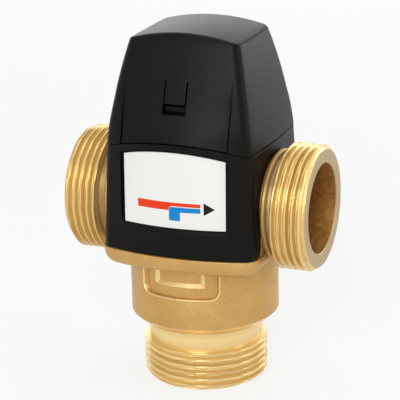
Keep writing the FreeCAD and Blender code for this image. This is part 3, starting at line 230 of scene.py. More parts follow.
class Effects:
    """Shader node groups that several finishes share."""
    pit_scale: float = 0.55     # scale of the pits' cells against the grain's
    fine_share: float = 0.6     # share of the fine grain in the skin's height
    pit_share: float = 0.4      # share of the pits in it
    band_scale: float = 0.15    # scale of the broad lathe bands against the fine marks'

    def __init__(self) -> None:
        """Build each group once."""
        self.grain = self._grain()
        self.turning = self._turning()

    @staticmethod
    def _new_group(
            name: str, inputs: list[tuple[str, str, float]], outputs: list[str],
    ) -> tuple[bpy.types.NodeTree, NodeSheet, bpy.types.Node, bpy.types.Node]:
        """A group tree with its sockets.

        Args:
            name: the group's name.
            inputs: name, socket type and default of each input.
            outputs: names of its float outputs.

        Returns:
            The tree, its sheet, and its input and output nodes.
        """
        tree = bpy.data.node_groups.new(name, "ShaderNodeTree")
        for label, kind, default in inputs:
            socket = tree.interface.new_socket(label, in_out="INPUT", socket_type=kind)
            if kind == "NodeSocketFloat":
                socket.default_value = default
        for label in outputs:
            tree.interface.new_socket(label, in_out="OUTPUT", socket_type="NodeSocketFloat")
        sheet = NodeSheet(tree)
        return tree, sheet, sheet.add("NodeGroupInput"), sheet.add("NodeGroupOutput")

    def _grain(self) -> bpy.types.NodeTree:
        """Fine skin of a blasted casting or a moulding.

        Returns:
            The group, with the skin's height, its speckle, and a slow change of tone.
        """
        tree, sheet, source, target = self._new_group(
            "skin_grain", [("Vector", "NodeSocketVector", 0), ("Grain", "NodeSocketFloat", 2500.0),
                           ("Patch", "NodeSocketFloat", 150.0)], ["Height", "Tone", "Speckle"])
        fine = sheet.add("TexNoise", in_Detail=3.0, in_Roughness=0.65)
        patch = sheet.add("TexNoise", in_Detail=4.0, in_Roughness=0.6)
        cells = sheet.add("TexVoronoi", feature="SMOOTH_F1", in_Smoothness=0.6)
        for node in (fine, patch, cells):
            sheet.join(source.outputs["Vector"], node.inputs["Vector"])
        sheet.join(source.outputs["Grain"], fine.inputs["Scale"])
        sheet.join(source.outputs["Patch"], patch.inputs["Scale"])
        cell = sheet.maths("MULTIPLY", source.outputs["Grain"], self.pit_scale)
        sheet.join(cell, cells.inputs["Scale"])
        pits = sheet.spread(cells.outputs["Distance"], 0.1, 0.7)
        height = sheet.maths("ADD", sheet.maths("MULTIPLY", fine.outputs["Fac"], self.fine_share),
                             sheet.maths("MULTIPLY", pits, self.pit_share))
        sheet.join(height, target.inputs["Height"])
        sheet.join(sheet.spread(patch.outputs["Fac"], 0.3, 0.7), target.inputs["Tone"])
        sheet.join(sheet.spread(height, 0.3, 0.75), target.inputs["Speckle"])
        return tree

    def _turning(self) -> bpy.types.NodeTree:
        """Fine lathe marks round the Z axis of the vector that comes in.

        Returns:
            The group, with the marks' height and the tone of broad bands.
        """
        tree, sheet, source, target = self._new_group(
            "lathe_marks", [("Vector", "NodeSocketVector", 0),
                            ("Marks", "NodeSocketFloat", 3000.0)], ["Height", "Tone"])
        parts = sheet.add("SeparateXYZ")
        sheet.join(source.outputs["Vector"], parts.inputs[0])
        square = sheet.maths("ADD", sheet.maths("POWER", parts.outputs[0], 2.0),
                             sheet.maths("POWER", parts.outputs[1], 2.0))
        radius = sheet.maths("SQRT", square)
        place = sheet.add("CombineXYZ")
        sheet.join(radius, place.inputs[0])
        sheet.join(parts.outputs[2], place.inputs[1])
        marks = sheet.add("TexNoise", in_Detail=2.0, in_Roughness=0.5)
        bands = sheet.add("TexNoise", in_Detail=1.0)
        for node, factor in ((marks, 1.0), (bands, self.band_scale)):
            sheet.join(place.outputs[0], node.inputs["Vector"])
            scale = sheet.maths("MULTIPLY", source.outputs["Marks"], factor)
            sheet.join(scale, node.inputs["Scale"])
        sheet.join(marks.outputs["Fac"], target.inputs["Height"])
        sheet.join(sheet.spread(bands.outputs["Fac"], 0.3, 0.7), target.inputs["Tone"])
        return tree


# ---------------------------------------------------------------- finishes

@dataclass(frozen=True)
class SkinFinish:
    """A cast, moulded or printed surface with a fine grain."""
    name: str
    light: Colour
    dark: Colour
    metallic: float
    roughness: tuple[float, float]
    grain: float
    patch: float
    depth: float
    specular: float = 0.5
    edge: float = 0.0
    patch_share: float = 0.55
    speckle_share: float = 0.45

    def make(self, effects: Effects) -> bpy.types.Material:
        """Build the material.

        Args:
            effects: the shared node groups.

        Returns:
            The material.
        """
        material, sheet, shader = new_material(self.name)
        place = sheet.add("TexCoord")
        skin = sheet.add("Group", node_tree=effects.grain, in_Grain=self.grain, in_Patch=self.patch)
        sheet.join(place.outputs["Object"], skin.inputs["Vector"])
        patches = sheet.maths("MULTIPLY", skin.outputs["Tone"], self.patch_share)
        speckle = sheet.maths("MULTIPLY", skin.outputs["Speckle"], self.speckle_share)
        tone = sheet.maths("ADD", patches, speckle)
        sheet.join(sheet.blend(tone, self.dark, self.light), shader.inputs["Base Color"])
        roughness = sheet.spread(skin.outputs["Speckle"], 0.0, 1.0, *self.roughness)
        sheet.join(roughness, shader.inputs["Roughness"])
        shader.inputs["Metallic"].default_value = self.metallic
        shader.inputs["Specular IOR Level"].default_value = self.specular
        add_bump(sheet, shader, skin.outputs["Height"], self.depth, self.edge)
        return material


@dataclass(frozen=True)
class TurnedFinish:
    """A machined metal surface with lathe marks about an axis at a height."""
    name: str
    light: Colour
    dark: Colour
    roughness: tuple[float, float]
    axis: Axis
    height: float = 0.0
    marks: float = 3000.0
    depth: float = 0.004 * MM
    metallic: float = 1.0

    def make(self, effects: Effects) -> bpy.types.Material:
        """Build the material.

        Args:
            effects: the shared node groups.

        Returns:
            The material.
        """
        material, sheet, shader = new_material(self.name)
        place = sheet.add("TexCoord")
        turn = sheet.add("Mapping", vector_type="POINT")
        turn.inputs["Location"].default_value = (0.0, 0.0, -self.height)
        swing = sheet.add("Mapping", vector_type="POINT")
        if self.axis is Axis.X:
            swing.inputs["Rotation"].default_value = (0.0, math.radians(90), 0.0)
        marks = sheet.add("Group", node_tree=effects.turning, in_Marks=self.marks)
        sheet.join(place.outputs["Object"], turn.inputs["Vector"])
        sheet.join(turn.outputs["Vector"], swing.inputs["Vector"])
        sheet.join(swing.outputs["Vector"], marks.inputs["Vector"])
        tone = marks.outputs["Tone"]
        sheet.join(sheet.blend(tone, self.dark, self.light), shader.inputs["Base Color"])
        sheet.join(sheet.spread(tone, 0.0, 1.0, *self.roughness), shader.inputs["Roughness"])
        shader.inputs["Metallic"].default_value = self.metallic
        add_bump(sheet, shader, marks.outputs["Height"], self.depth)
        return material


def new_material(name: str) -> tuple[bpy.types.Material, NodeSheet, bpy.types.Node]:
    """A new node material.

    Args:
        name: the material's name.

    Returns:
        The material, its sheet and its Principled shader.
    """
    material = bpy.data.materials.new(name)
    material.use_nodes = True
    sheet = NodeSheet(material.node_tree)
    return material, sheet, material.node_tree.nodes["Principled BSDF"]


def add_bump(sheet: NodeSheet, shader: bpy.types.Node, height: bpy.types.NodeSocket,
             depth: float, edge: float = 0.0) -> None:
    """Let a height move the shader's normal, and soften the piece's edges.

    Args:
        sheet: the material's sheet.
        shader: the material's shader.
        height: a height from 0 to 1.
        depth: how deep a height of 1 is, in metres.
        edge: how round an edge looks, in metres.
    """
    bump = sheet.add("Bump", in_Strength=1.0, in_Distance=depth)
    sheet.join(height, bump.inputs["Height"])
    if edge > 0:
        soft = sheet.add("Bevel", samples=6, in_Radius=edge)
        sheet.join(soft.outputs["Normal"], bump.inputs["Normal"])
    sheet.join(bump.outputs["Normal"], shader.inputs["Normal"])


class Palette:
    """Every finish of the valve, made once."""

    def __init__(self) -> None:
        """Make the shared effects and the materials."""
        effects = Effects()
        side_height = Ports.side_height()
        finishes = [
            SkinFinish("cast_brass", linear(210, 169, 105), linear(188, 147, 84), metallic=0.66,
                       roughness=(0.36, 0.48), grain=2300.0, patch=90.0, depth=0.035 * MM,
                       specular=0.25, edge=0.4 * MM),
            # Lighter brass whose colour paints highlights on the recess's rim and on its sunk
            # middle's slopes.
            SkinFinish("painted_highlight_brass", linear(244, 216, 160), linear(232, 200, 140),
                       metallic=0.66, roughness=(0.26, 0.36), grain=2300.0, patch=90.0,
                       depth=0.01 * MM, specular=0.4),
            SkinFinish("bore_brass", linear(206, 160, 88), linear(160, 110, 46), metallic=0.6,
                       roughness=(0.4, 0.55), grain=1300.0, patch=160.0, depth=0.04 * MM),
            TurnedFinish("thread_brass_side", linear(234, 204, 138), linear(206, 172, 104),
                         (0.24, 0.34), Axis.X, side_height, metallic=0.6),
            TurnedFinish("thread_brass_bottom", linear(242, 216, 154), linear(218, 188, 124),
                         (0.24, 0.34), Axis.Z, metallic=0.6),
            TurnedFinish("faced_brass_side", linear(184, 162, 122), linear(168, 145, 102),
                         (0.36, 0.48), Axis.X, side_height, metallic=0.6),
            # Pale base that paints in the bright reflection which the bottom port's neck and
            # machined faces show.
            TurnedFinish("faced_brass_bottom", linear(246, 218, 158), linear(234, 202, 138),
                         (0.24, 0.34), Axis.Z, metallic=0.6),
            TurnedFinish("turned_brass", linear(226, 190, 112), linear(202, 160, 84),
                         (0.22, 0.34), Axis.Z),
            TurnedFinish("copper", linear(206, 132, 92), linear(178, 104, 68),
                         (0.25, 0.38), Axis.Z),
            TurnedFinish("steel", linear(196, 196, 192), linear(168, 168, 166),
                         (0.24, 0.38), Axis.Z),
            SkinFinish("spring_steel", linear(158, 158, 156), linear(126, 126, 126), metallic=1.0,
                       roughness=(0.28, 0.4), grain=2600.0, patch=200.0, depth=0.004 * MM),
            SkinFinish("rubber", linear(38, 38, 38), linear(28, 28, 28), metallic=0.0,
                       roughness=(0.62, 0.78), grain=3000.0, patch=220.0, depth=0.01 * MM),
            SkinFinish("cover_plastic", linear(19, 17, 15), linear(13, 11, 10), metallic=0.0,
                       roughness=(0.32, 0.42), grain=3200.0, patch=60.0, depth=0.006 * MM,
                       specular=0.1, edge=0.4 * MM),
            SkinFinish("knob_plastic", linear(34, 34, 34), linear(26, 26, 26), metallic=0.0,
                       roughness=(0.4, 0.52), grain=2800.0, patch=120.0, depth=0.008 * MM,
                       specular=0.3, edge=0.25 * MM),
            self.film("label_white", linear(236, 236, 232), linear(230, 230, 226), 0.36, 0.5),
            self.film("ink_red", linear(232, 66, 24), linear(224, 58, 20), 0.34, 0.15),
            self.film("ink_blue", linear(22, 136, 204), linear(16, 126, 196), 0.34, 0.15),
            self.film("ink_black", linear(34, 32, 32), linear(26, 24, 24), 0.34, 0.1),
        ]
        self.materials = {finish.name: finish.make(effects) for finish in finishes}

    @staticmethod
    def film(name: str, light: Colour, dark: Colour, smoothest: float,
             specular: float) -> SkinFinish:
        """The finish of the label's film or of an ink on it, from its lowest roughness."""
        return SkinFinish(name, light, dark, metallic=0.0, roughness=(smoothest, smoothest + 0.08),
                          grain=2400.0, patch=80.0, depth=0.002 * MM, specular=specular)

    def __getitem__(self, name: str) -> bpy.types.Material:
        """A material by its name."""
        return self.materials[name]


# ------------------------------------------------------------ mesh helpers

def put(name: str, mesh: bmesh.types.BMesh, materials: list[bpy.types.Material],
        crease: float = 32.0) -> bpy.types.Object:
    """Make a scene object of a bmesh, smooth except at its sharp edges.

    Args:
        name: the piece's name.
        mesh: its geometry, in the row frame.
        materials: its material slots in order.
        crease: edges that turn by more degrees than this stay sharp.

    Returns:
        The object.
    """
    data = bpy.data.meshes.new(name)
    mesh.to_mesh(data)
    mesh.free()
    if data.has_custom_normals:
        data.attributes.remove(data.attributes["custom_normal"])
    for polygon in data.polygons:
        polygon.use_smooth = True
    data.set_sharp_from_angle(angle=math.radians(crease))
    for material in materials:
        data.materials.append(material)
    piece = bpy.data.objects.new(name, data)
    bpy.context.collection.objects.link(piece)
    return piece


def merged(node: str) -> bmesh.types.BMesh:
    """A copy of a CAD node's mesh with its doubles merged.

    Args:
        node: the CAD node.

    Returns:
        The mesh, in the row frame.
    """
    mesh = bmesh.new()
    mesh.from_mesh(frame["nodes"][node].data)
    bmesh.ops.remove_doubles(mesh, verts=mesh.verts, dist=WELD)
    return mesh


def stand_for(piece: bpy.types.Object, body: str, slot: str, *nodes: str) -> bpy.types.Object:
    """Let a piece ride on a body and replace CAD nodes.

    Args:
        piece: the scene's piece.
        body: the body it rides on.
        slot: the record's material slot; not used.
        nodes: CAD nodes that it stands for.

    Returns:
        The piece.
    """
    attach(piece, body)
    if nodes:
        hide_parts(*nodes)
    LOG.info("%s rides on %s, %d faces", piece.name, body, len(piece.data.polygons))
    return piece


def is_rim(edge: bmesh.types.BMEdge, turn: float) -> bool:
    """Whether an edge stands out and turns by at least so many degrees."""
    return (len(edge.link_faces) == 2 and edge.is_convex
            and edge.calc_face_angle() >= math.radians(turn))


def bevel_rim(mesh: bmesh.types.BMesh, rim: list[bmesh.types.BMEdge], width: float,
              segments: int, index: int = -1) -> None:
    """Bevel the edges of a rim; an index of -1 gives the new faces their neighbours' finish."""
    bmesh.ops.bevel(mesh, geom=rim, affect="EDGES", offset=width, offset_type="OFFSET",
                    segments=segments, profile=0.5, material=index, clamp_overlap=True)


# ------------------------------------------------------------------- ports

@dataclass(frozen=True)
class Port:
    """One threaded port, from its mount in the record."""
    name: str
    face: Vector
    outward: Vector
    thread_radius: float
    run_length: float

    def placement(self) -> Matrix:
        """From the port's own frame, +Z into the valve from its end face, to the row frame."""
        turn = Vector((0, 0, 1)).rotation_difference(-self.outward).to_matrix().to_4x4()
        return Matrix.Translation(self.face) @ turn


class Ports:
    """The ports' places, read from the record's mounts."""

    @staticmethod
    def mounts() -> dict[str, dict]:
        """The record's mounts by name."""
        return {mount["name"]: mount for mount in frame["record"]["mounts"]}

    @staticmethod
    def side_height() -> float:
        """Height of the side ports' axis."""
        return Ports.mounts()["mixed_port_thread"]["pos_m"][2]

    @staticmethod
    def all() -> list[Port]:
        """The three ports, with their end faces on the casting's box.

        Returns:
            The hot, the mixed and the cold port.
        """
        ports = []
        low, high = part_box("valve_body")
        faces = {
            "hot": Vector((low.x, 0, Ports.side_height())),
            "mixed": Vector((high.x, 0, Ports.side_height())),
            "cold": Vector((0, 0, low.z)),
        }
        for name, face in faces.items():
            mount = Ports.mounts()[f"{name}_port_thread"]
            outward = Vector(mount["axis"])
            middle = (face - Vector(mount["pos_m"])).length
            run = middle + mount["dims"]["length_mm"] * MM / 2
            ports.append(Port(name, face, outward, mount["dims"]["r_mm"] * MM, run))
        return ports


@dataclass
class PortThread:
    """The threaded end of a port: Whitworth pipe thread, end face and bore."""
    pitch: float = 25.4 / 11 * MM
    form_depth: float = 1.479 * MM
    sharp_height: float = 0.96049       # height of the sharp form, in pitches
    sharp_cut: float = 1 / 6            # share of it that is cut off the crest
    softness: float = 0.45              # how round the flanks' ends are, from 0 to 1
    chamfer: float = 1.4 * MM
    bore_radius: float = 15.0 * MM
    edge_break: float = 0.3 * MM
    stub: float = 0.15 * MM             # reach behind the thread, into the casting
    face_gap: float = 0.1 * MM
    near: float = 0.001 * MM
    face_depth: float = 0.05 * MM       # the end face's finish starts no deeper than this
    bore_depth: float = 0.02 * MM       # the bore's finish starts no further out than this
    least_rows: int = 8
    rows_per_pitch: int = 16
    steps: int = 160
    crease: float = 40.0

    def depth_at(self, turns: float) -> float:
        """How far the thread form lies under its crest.

        Args:
            turns: place along the thread, in pitches.

        Returns:
            The depth in metres.
        """
        sharp_height = self.sharp_height * self.pitch
        sharp = abs(2 * (turns % 1.0) - 1) * sharp_height
        share = clamped((sharp - sharp_height * self.sharp_cut) / self.form_depth)
        return self.form_depth * ((1 - self.softness) * share + self.softness * eased(share))

    def build(self, port: Port, neck: float, palette: Palette, look: str) -> bpy.types.Object:
        """Build the end of one port.

        Args:
            port: the port.
            neck: radius of the casting where the thread ends.
            palette: the finishes.
            look: side or bottom, which names the turned finishes.

        Returns:
            The piece.
        """
        mesh = self.turn(port, neck)
        self.cut_thread(mesh, port.thread_radius)
        bmesh.ops.recalc_face_normals(mesh, faces=mesh.faces)
        faced_radius = min(neck, port.thread_radius - self.chamfer) - self.face_depth
        for face in mesh.faces:
            middle = face.calc_center_median()
            radius = radius_of(middle)
            if radius < self.bore_radius + self.bore_depth:
                face.material_index = 2
            elif middle.z < self.face_depth or radius < faced_radius:
                face.material_index = 1
        bmesh.ops.transform(mesh, matrix=port.placement(), verts=mesh.verts)
        # For the bottom port, the faced finish's pale base is a painted reflection.
        materials = [palette[f"thread_brass_{look}"], palette[f"faced_brass_{look}"],
                     palette["bore_brass"]]
        return put(f"{port.name}_thread", mesh, materials, self.crease)

    def turn(self, port: Port, neck: float) -> bmesh.types.BMesh:
        """Turn the blank: bore, end face, plain outside and the step to the neck.

        Args:
            port: the port.
            neck: radius of the casting where the thread ends.

        Returns:
            The blank, in the port's own frame.
        """
        crest, run = port.thread_radius, port.run_length
        rows = max(self.least_rows, round(run / self.pitch * self.rows_per_pitch))
        profile = [(self.bore_radius, run + self.stub),
                   (self.bore_radius, self.edge_break),
                   (self.bore_radius + self.edge_break, 0.0),
                   (crest - self.chamfer - self.face_gap, 0.0)]
        profile += [(crest, run * row / rows) for row in range(rows + 1)]
        profile += [(neck, run), (neck, run + self.stub)]
        mesh = bmesh.new()
        verts = [mesh.verts.new((radius, 0, height)) for radius, height in profile]
        edges = [mesh.edges.new(pair) for pair in zip(verts, verts[1:] + verts[:1])]
        bmesh.ops.spin(mesh, geom=verts + edges, cent=(0, 0, 0), axis=(0, 0, 1), dvec=(0, 0, 0),
                       angle=math.tau, steps=self.steps, use_merge=True, use_duplicate=False)
        bmesh.ops.remove_doubles(mesh, verts=mesh.verts, dist=self.near)
        return mesh

    def cut_thread(self, mesh: bmesh.types.BMesh, crest: float) -> None:
        """Cut the thread and its entry chamfer into the blank's outside.

        Args:
            mesh: the blank.
            crest: the thread's outer radius.
        """
        face_radius = crest - self.chamfer
        for vert in mesh.verts:
            radius = radius_of(vert.co)
            if abs(radius - crest) > self.near:
                continue
            turns = vert.co.z / self.pitch + math.atan2(vert.co.y, vert.co.x) / math.tau
            wanted = min(crest - self.depth_at(turns), face_radius + vert.co.z)
            if vert.co.z < self.near:
                wanted = face_radius
            vert.co.x *= wanted / radius
            vert.co.y *= wanted / radius


@dataclass
class Casting:
    """The brass casting, cut off behind each thread, with its machined faces."""
    thread: PortThread = field(default_factory=PortThread)
    near: float = 0.03 * MM
    crease: float = 30.0
    cut_share: float = 0.6              # where in a thread's stub the casting is cut off
    cut_slack: float = 0.0001 * MM
    relief_side: float = 17.0 * MM
    relief_bottom: float = 19.2 * MM
    collar_inner: float = 28.3 * MM
    collar_width: float = 1.9 * MM
    bore_start: float = 20.0 * MM       # the side bores' finish starts this far from Z
    bore_margin: float = 0.1 * MM
    chamber_radius: float = 20.05 * MM
    top_machined: float = 81.8 * MM
    barrel_radius: float = 25.0 * MM
    cone_top: float = 23.6 * MM
    recess_floor: float = 23.7 * MM
    recess_foot: float = 34.2 * MM
    recess_head: float = 44.5 * MM
    recess_reach: float = 47.0 * MM     # nothing of the recess lies above this
    recess_angle: float = 65.0
    recess_round: float = 3.0 * MM
    recess_slope: float = 0.45 * MM
    corner_slack: float = 0.2 * MM
    rim_turn: float = 45.0
    rim_width: float = 0.3 * MM
    middle_face: float = 24.7 * MM
    middle_foot: float = 38.0 * MM
    middle_angle: float = 43.0
    middle_floor: float = 22.8 * MM
    middle_slope: float = 1.1 * MM
    slope_margin: float = 0.1 * MM
    angle_slack: float = 0.5

    def neck_of(self, port: Port) -> float:
        """Radius of the casting just behind a port's thread."""
        return self.relief_bottom if port.name == "cold" else self.relief_side

    def run_of(self, port: Port) -> float:
        """Length of a port's threaded end; the bottom one's runs on by the step to its neck."""
        step = port.thread_radius - self.relief_bottom if port.name == "cold" else 0.0
        return port.run_length + step

    def body(self, ports: list[Port], palette: Palette) -> bpy.types.Object:
        """The casting without its threads.

        Args:
            ports: the three ports.
            palette: the finishes.

        Returns:
            The piece.
        """
        mesh = merged("valve_body")
        self.carve_recess(mesh)
        for port in ports:
            self.cut_behind(mesh, port)
        names = ["cast_brass", "faced_brass_side", "faced_brass_bottom", "bore_brass",
                 "painted_highlight_brass"]
        for face in mesh.faces:
            face.material_index = names.index(self.finish_of(face.calc_center_median()))
        # The recess's rim bevels and sunk slopes take the painted highlight brass.
        self.paint_recess_highlights(mesh, names.index("painted_highlight_brass"))
        return put("casting", mesh, [palette[name] for name in names], self.crease)

    def carve_recess(self, mesh: bmesh.types.BMesh) -> None:
        """Slope the walls of the recess in the barrel's front, and sink its middle.

        Args:
            mesh: the casting.
        """
        edge = math.radians(self.middle_angle) / 2
        sunk_edge = edge - self.middle_slope / self.middle_floor
        for vert in mesh.verts:
            height = vert.co.z
            if vert.co.y > 0 or not self.recess_foot - self.near < height < self.recess_reach:
                continue
            radius = radius_of(vert.co)
            if abs(radius - self.recess_floor) < self.near:
                self.slope_wall(vert)
            elif abs(radius - self.middle_face) < self.near and self.in_middle(vert.co):
                lift = self.middle_slope if height < self.middle_foot + self.near else 0.0
                bearing = bearing_of(vert.co) * sunk_edge / edge
                self.set_round(vert, self.middle_floor, bearing, height + lift)

    def slope_wall(self, vert: bmesh.types.BMVert) -> None:
        """Draw a vertex at the foot of the recess's wall inwards, so that the wall slopes.

        Args:
            vert: a vertex on the recess's floor.
        """
        half = math.radians(self.recess_angle) / 2 * self.recess_floor
        place = Vector((bearing_of(vert.co) * self.recess_floor, vert.co.z))
        inner = Vector((min(max(place.x, self.recess_round - half), half - self.recess_round),
                        max(place.y, self.recess_foot + self.recess_round)))
        inward = inner - place
        if inward.length > self.recess_round - self.corner_slack:
            place += inward.normalized() * self.recess_slope
            self.set_round(vert, self.recess_floor, place.x / self.recess_floor, place.y)

    @staticmethod
    def set_round(vert: bmesh.types.BMVert, radius: float, bearing: float, height: float) -> None:
        """Place a vertex by its radius about Z, its angle from the front and its height."""
        vert.co = (radius * math.sin(bearing), -radius * math.cos(bearing), height)

    def in_middle(self, place: Vector) -> bool:
        """Whether a place has the bearing of the recess's middle."""
        return abs(bearing_of(place)) < math.radians(self.middle_angle / 2 + self.angle_slack)

    def paint_recess_highlights(self, mesh: bmesh.types.BMesh, index: int) -> None:
        """Paint highlights in a lighter brass on the recess's outer rim and on the slopes of its
        sunk middle.

        Args:
            mesh: the casting.
            index: the material slot of the lighter brass that paints the highlights.
        """
        inside = self.middle_floor + self.corner_slack
        outside = self.recess_floor - self.slope_margin
        lowest = self.middle_foot - self.slope_margin
        for face in mesh.faces:
            place = face.calc_center_median()
            ahead = place.y < 0 and lowest < place.z < self.recess_head
            if ahead and inside < radius_of(place) < outside and self.in_middle(place):
                face.material_index = index
        rim = [edge for edge in mesh.edges if self.on_rim(edge)]
        bevel_rim(mesh, rim, self.rim_width, 2, index)
        # The count is of the rim edges that take the painted highlight.
        LOG.info("casting: %d edges of the recess polished", len(rim))

    def on_rim(self, edge: bmesh.types.BMEdge) -> bool:
        """Whether an edge is part of the outer rim of the barrel's recess.

        Args:
            edge: an edge of the casting.

        Returns:
            True if it is.
        """
        low, high = self.recess_foot - self.near, self.recess_head + self.near
        return is_rim(edge, self.rim_turn) and all(
            vert.co.y < 0 and low < vert.co.z < high
            and abs(radius_of(vert.co) - self.barrel_radius) < self.near for vert in edge.verts)

    def cut_behind(self, mesh: bmesh.types.BMesh, port: Port) -> None:
        """Cut the casting off behind a port's thread and close the cut.

        Args:
            mesh: the casting.
            port: the port whose end goes.
        """
        place = port.face - port.outward * (self.run_of(port) + self.thread.stub * self.cut_share)
        geometry = mesh.verts[:] + mesh.edges[:] + mesh.faces[:]
        cut = bmesh.ops.bisect_plane(mesh, geom=geometry, dist=self.cut_slack, plane_co=place,
                                     plane_no=port.outward, clear_outer=True)
        rim = [item for item in cut["geom_cut"] if isinstance(item, bmesh.types.BMEdge)]
        bmesh.ops.bridge_loops(mesh, edges=rim)

    def finish_of(self, place: Vector) -> str:
        """The finish of the casting's surface at a place.

        Args:
            place: the middle of a face.

        Returns:
            The finish's name.
        """
        about_x = math.hypot(place.y, place.z - Ports.side_height())
        about_z = radius_of(place)
        bore = self.thread.bore_radius + self.bore_margin
        behind_collar = abs(place.x) > self.collar_inner - self.near
        if behind_collar and about_x < self.relief_side + self.collar_width:
            return "faced_brass_side" if about_x > bore else "bore_brass"
        # Faces at the foot and the top take faced_brass_bottom, whose pale base is a painted
        # reflection.
        if place.z < self.cone_top and about_z > bore + self.bore_margin:
            return "faced_brass_bottom"
        if place.z > self.top_machined:
            return "faced_brass_bottom"
        if about_z < self.chamber_radius or (abs(place.x) > self.bore_start and about_x < bore):
            return "bore_brass"
        return "cast_brass"

    def build(self, palette: Palette) -> None:
        """Make the casting and its three threads.

        Args:
            palette: the finishes.
        """
        ports = Ports.all()
        stand_for(self.body(ports, palette), "valve", "cast_brass", "valve_body")
        for port in ports:
            look = "bottom" if port.name == "cold" else "side"
            end = replace(port, run_length=self.run_of(port))
            piece = self.thread.build(end, self.neck_of(port), palette, look)
            stand_for(piece, "valve", "cast_brass")


# ------------------------------------------------------------------- cover

@dataclass
class Cover:
    """The moulded lower shell and the lift-off cap."""
    edge_width: float = 0.22 * MM
    edge_angle: float = 35.0
    recess_half_width: float = 18.6 * MM
    recess_foot: float = 59.425 * MM
    recess_front: float = -25.0 * MM
    frame_bevel: float = 0.95 * MM
    latch_foot: float = 88.0 * MM
    latch_head: float = 101.0 * MM
    latch_drop: float = 1.5 * MM
    crown_foot: float = 119.5 * MM
    crown_drop: float = 0.85 * MM
    crown_share: float = 0.69
    nose_foot: float = 98.0 * MM
    nose_top: float = 100.0 * MM
    nose_short: float = 0.5 * MM
    nose_front: float = -21.0 * MM
    nose_reach: float = 0.7 * MM
    band_edge: float = 18.6 * MM
    band_top: float = 111.0 * MM
    groove_fade: float = 20.0 * MM
    groove_width: float = 0.5 * MM
    groove_depth: float = 0.7 * MM
    upright: float = 0.99               # an upright wall's normal has at least this along X
    facing: float = 0.8                 # an outer face's has at least this along Y
    rim_turn: float = 60.0
    near: float = 0.02 * MM
    crease: float = 30.0

    def moulding(self, node: str, name: str, material: bpy.types.Material) -> bpy.types.Object:
        """A moulded piece with its sharp edges broken.

        Args:
            node: the CAD node that it stands for.
            name: the piece's name.
            material: its finish.

        Returns:
            The piece.
        """
        mesh = merged(node)
        bmesh.ops.dissolve_limit(mesh, angle_limit=FLAT_ANGLE, verts=mesh.verts, edges=mesh.edges)
        if node == "cap":
            self.groove_bands(mesh)
        else:
            rim = [edge for edge in mesh.edges if self.on_label_rim(edge)]
            bevel_rim(mesh, rim, self.frame_bevel, 1)
            LOG.info("%s: %d edges of the label's rim bevelled", name, len(rim))
            self.seat_nose(mesh)
        self.settle(mesh)
        piece = put(name, mesh, [material], self.crease)
        bevel = piece.modifiers.new("edges", "BEVEL")
        bevel.width = self.edge_width
        bevel.segments = 2
        bevel.limit_method = "ANGLE"
        bevel.angle_limit = math.radians(self.edge_angle)
        bevel.use_clamp_overlap = True
        bevel.harden_normals = False
        return piece

    def drop_at(self, height: float) -> float:
        """How far a height of the cover comes down, for its latch and its flatter crown.

        Args:
            height: a height on the solid.

        Returns:
            The drop in metres.
        """
        latch = clamped((height - self.latch_foot) / (self.latch_head - self.latch_foot))
        above = clamped((height - self.latch_head) / (self.crown_foot - self.latch_head))
        drop = self.latch_drop * eased(latch) + (self.crown_drop - self.latch_drop) * above
        return drop + max(height - self.crown_foot, 0.0) * (1 - self.crown_share)

    def settle(self, mesh: bmesh.types.BMesh) -> None:
        """Bring the latch and the crown down to their heights."""
        for vert in mesh.verts:
            vert.co.z -= self.drop_at(vert.co.z)

    def seat_nose(self, mesh: bmesh.types.BMesh) -> None:
        """Bring the latch's nose forward and make it shorter, so that a gap shows over it.

        Args:
            mesh: the lower shell.
        """
        for vert in mesh.verts:
            if vert.co.z > self.nose_foot and vert.co.y < self.nose_front:
                vert.co.y -= self.nose_reach
            if vert.co.z > self.nose_top:
                vert.co.z -= self.nose_short

    def groove_bands(self, mesh: bmesh.types.BMesh) -> None:
        """Cut a groove that fades upwards along both sides of the cap's front and back bands.

        Args:
            mesh: the cap.
        """
        for side in (-1, 1):
            lanes = [face for face in mesh.faces if self.on_band(face)]
            geometry = lanes + list({edge for face in lanes for edge in face.edges})
            geometry += list({vert for face in lanes for vert in face.verts})
            bmesh.ops.bisect_plane(mesh, geom=geometry, dist=ON_PLANE, plane_no=(1, 0, 0),
                                   plane_co=(side * (self.band_edge - self.groove_width), 0, 0))
        walls = [face for face in mesh.faces if abs(face.normal.x) > self.upright
                 and abs(abs(face.calc_center_median().x) - self.band_edge) < self.near]
        for vert in {vert for face in walls for vert in face.verts}:
            inmost = min(abs(face.calc_center_median().x) for face in vert.link_faces)
            if inmost < self.band_edge - self.near:
                share = clamped((self.band_top - vert.co.z) / self.groove_fade)
                vert.co.y -= math.copysign(self.groove_depth * share, vert.co.y)

    def on_band(self, face: bmesh.types.BMFace) -> bool:
        """Whether a face is on the outside of the cap's front or back, below the bands' heads."""
        middle, across = face.calc_center_median(), face.normal.y
        return middle.z < self.band_top and abs(across) > self.facing and across * middle.y > 0

    def on_label_rim(self, edge: bmesh.types.BMEdge) -> bool:
        """Whether an edge is the foot or a side of the outer rim round the label's recess.

        Args:
            edge: an edge of the lower shell.

        Returns:
            True if it is.
        """
        places = [vert.co for vert in edge.verts]
        if not is_rim(edge, self.rim_turn) or max(place.y for place in places) > self.recess_front:
            return False
        widths = [abs(place.x) - self.recess_half_width for place in places]
        heights = [place.z - self.recess_foot for place in places]
        foot = max(map(abs, heights)) < self.near and max(widths) < self.near
        side = max(map(abs, widths)) < self.near and min(heights) > -self.near
        return foot or side

    def build(self, palette: Palette) -> None:
        """Make the shell and the cap.

        Args:
            palette: the finishes.
        """
        shell = self.moulding("lower_shell", "cover_shell", palette["cover_plastic"])
        stand_for(shell, "valve", "cover_plastic", "lower_shell")
        hood = self.moulding("cap", "cover_cap", palette["cover_plastic"])
        stand_for(hood, "cap", "cover_plastic", "cap")


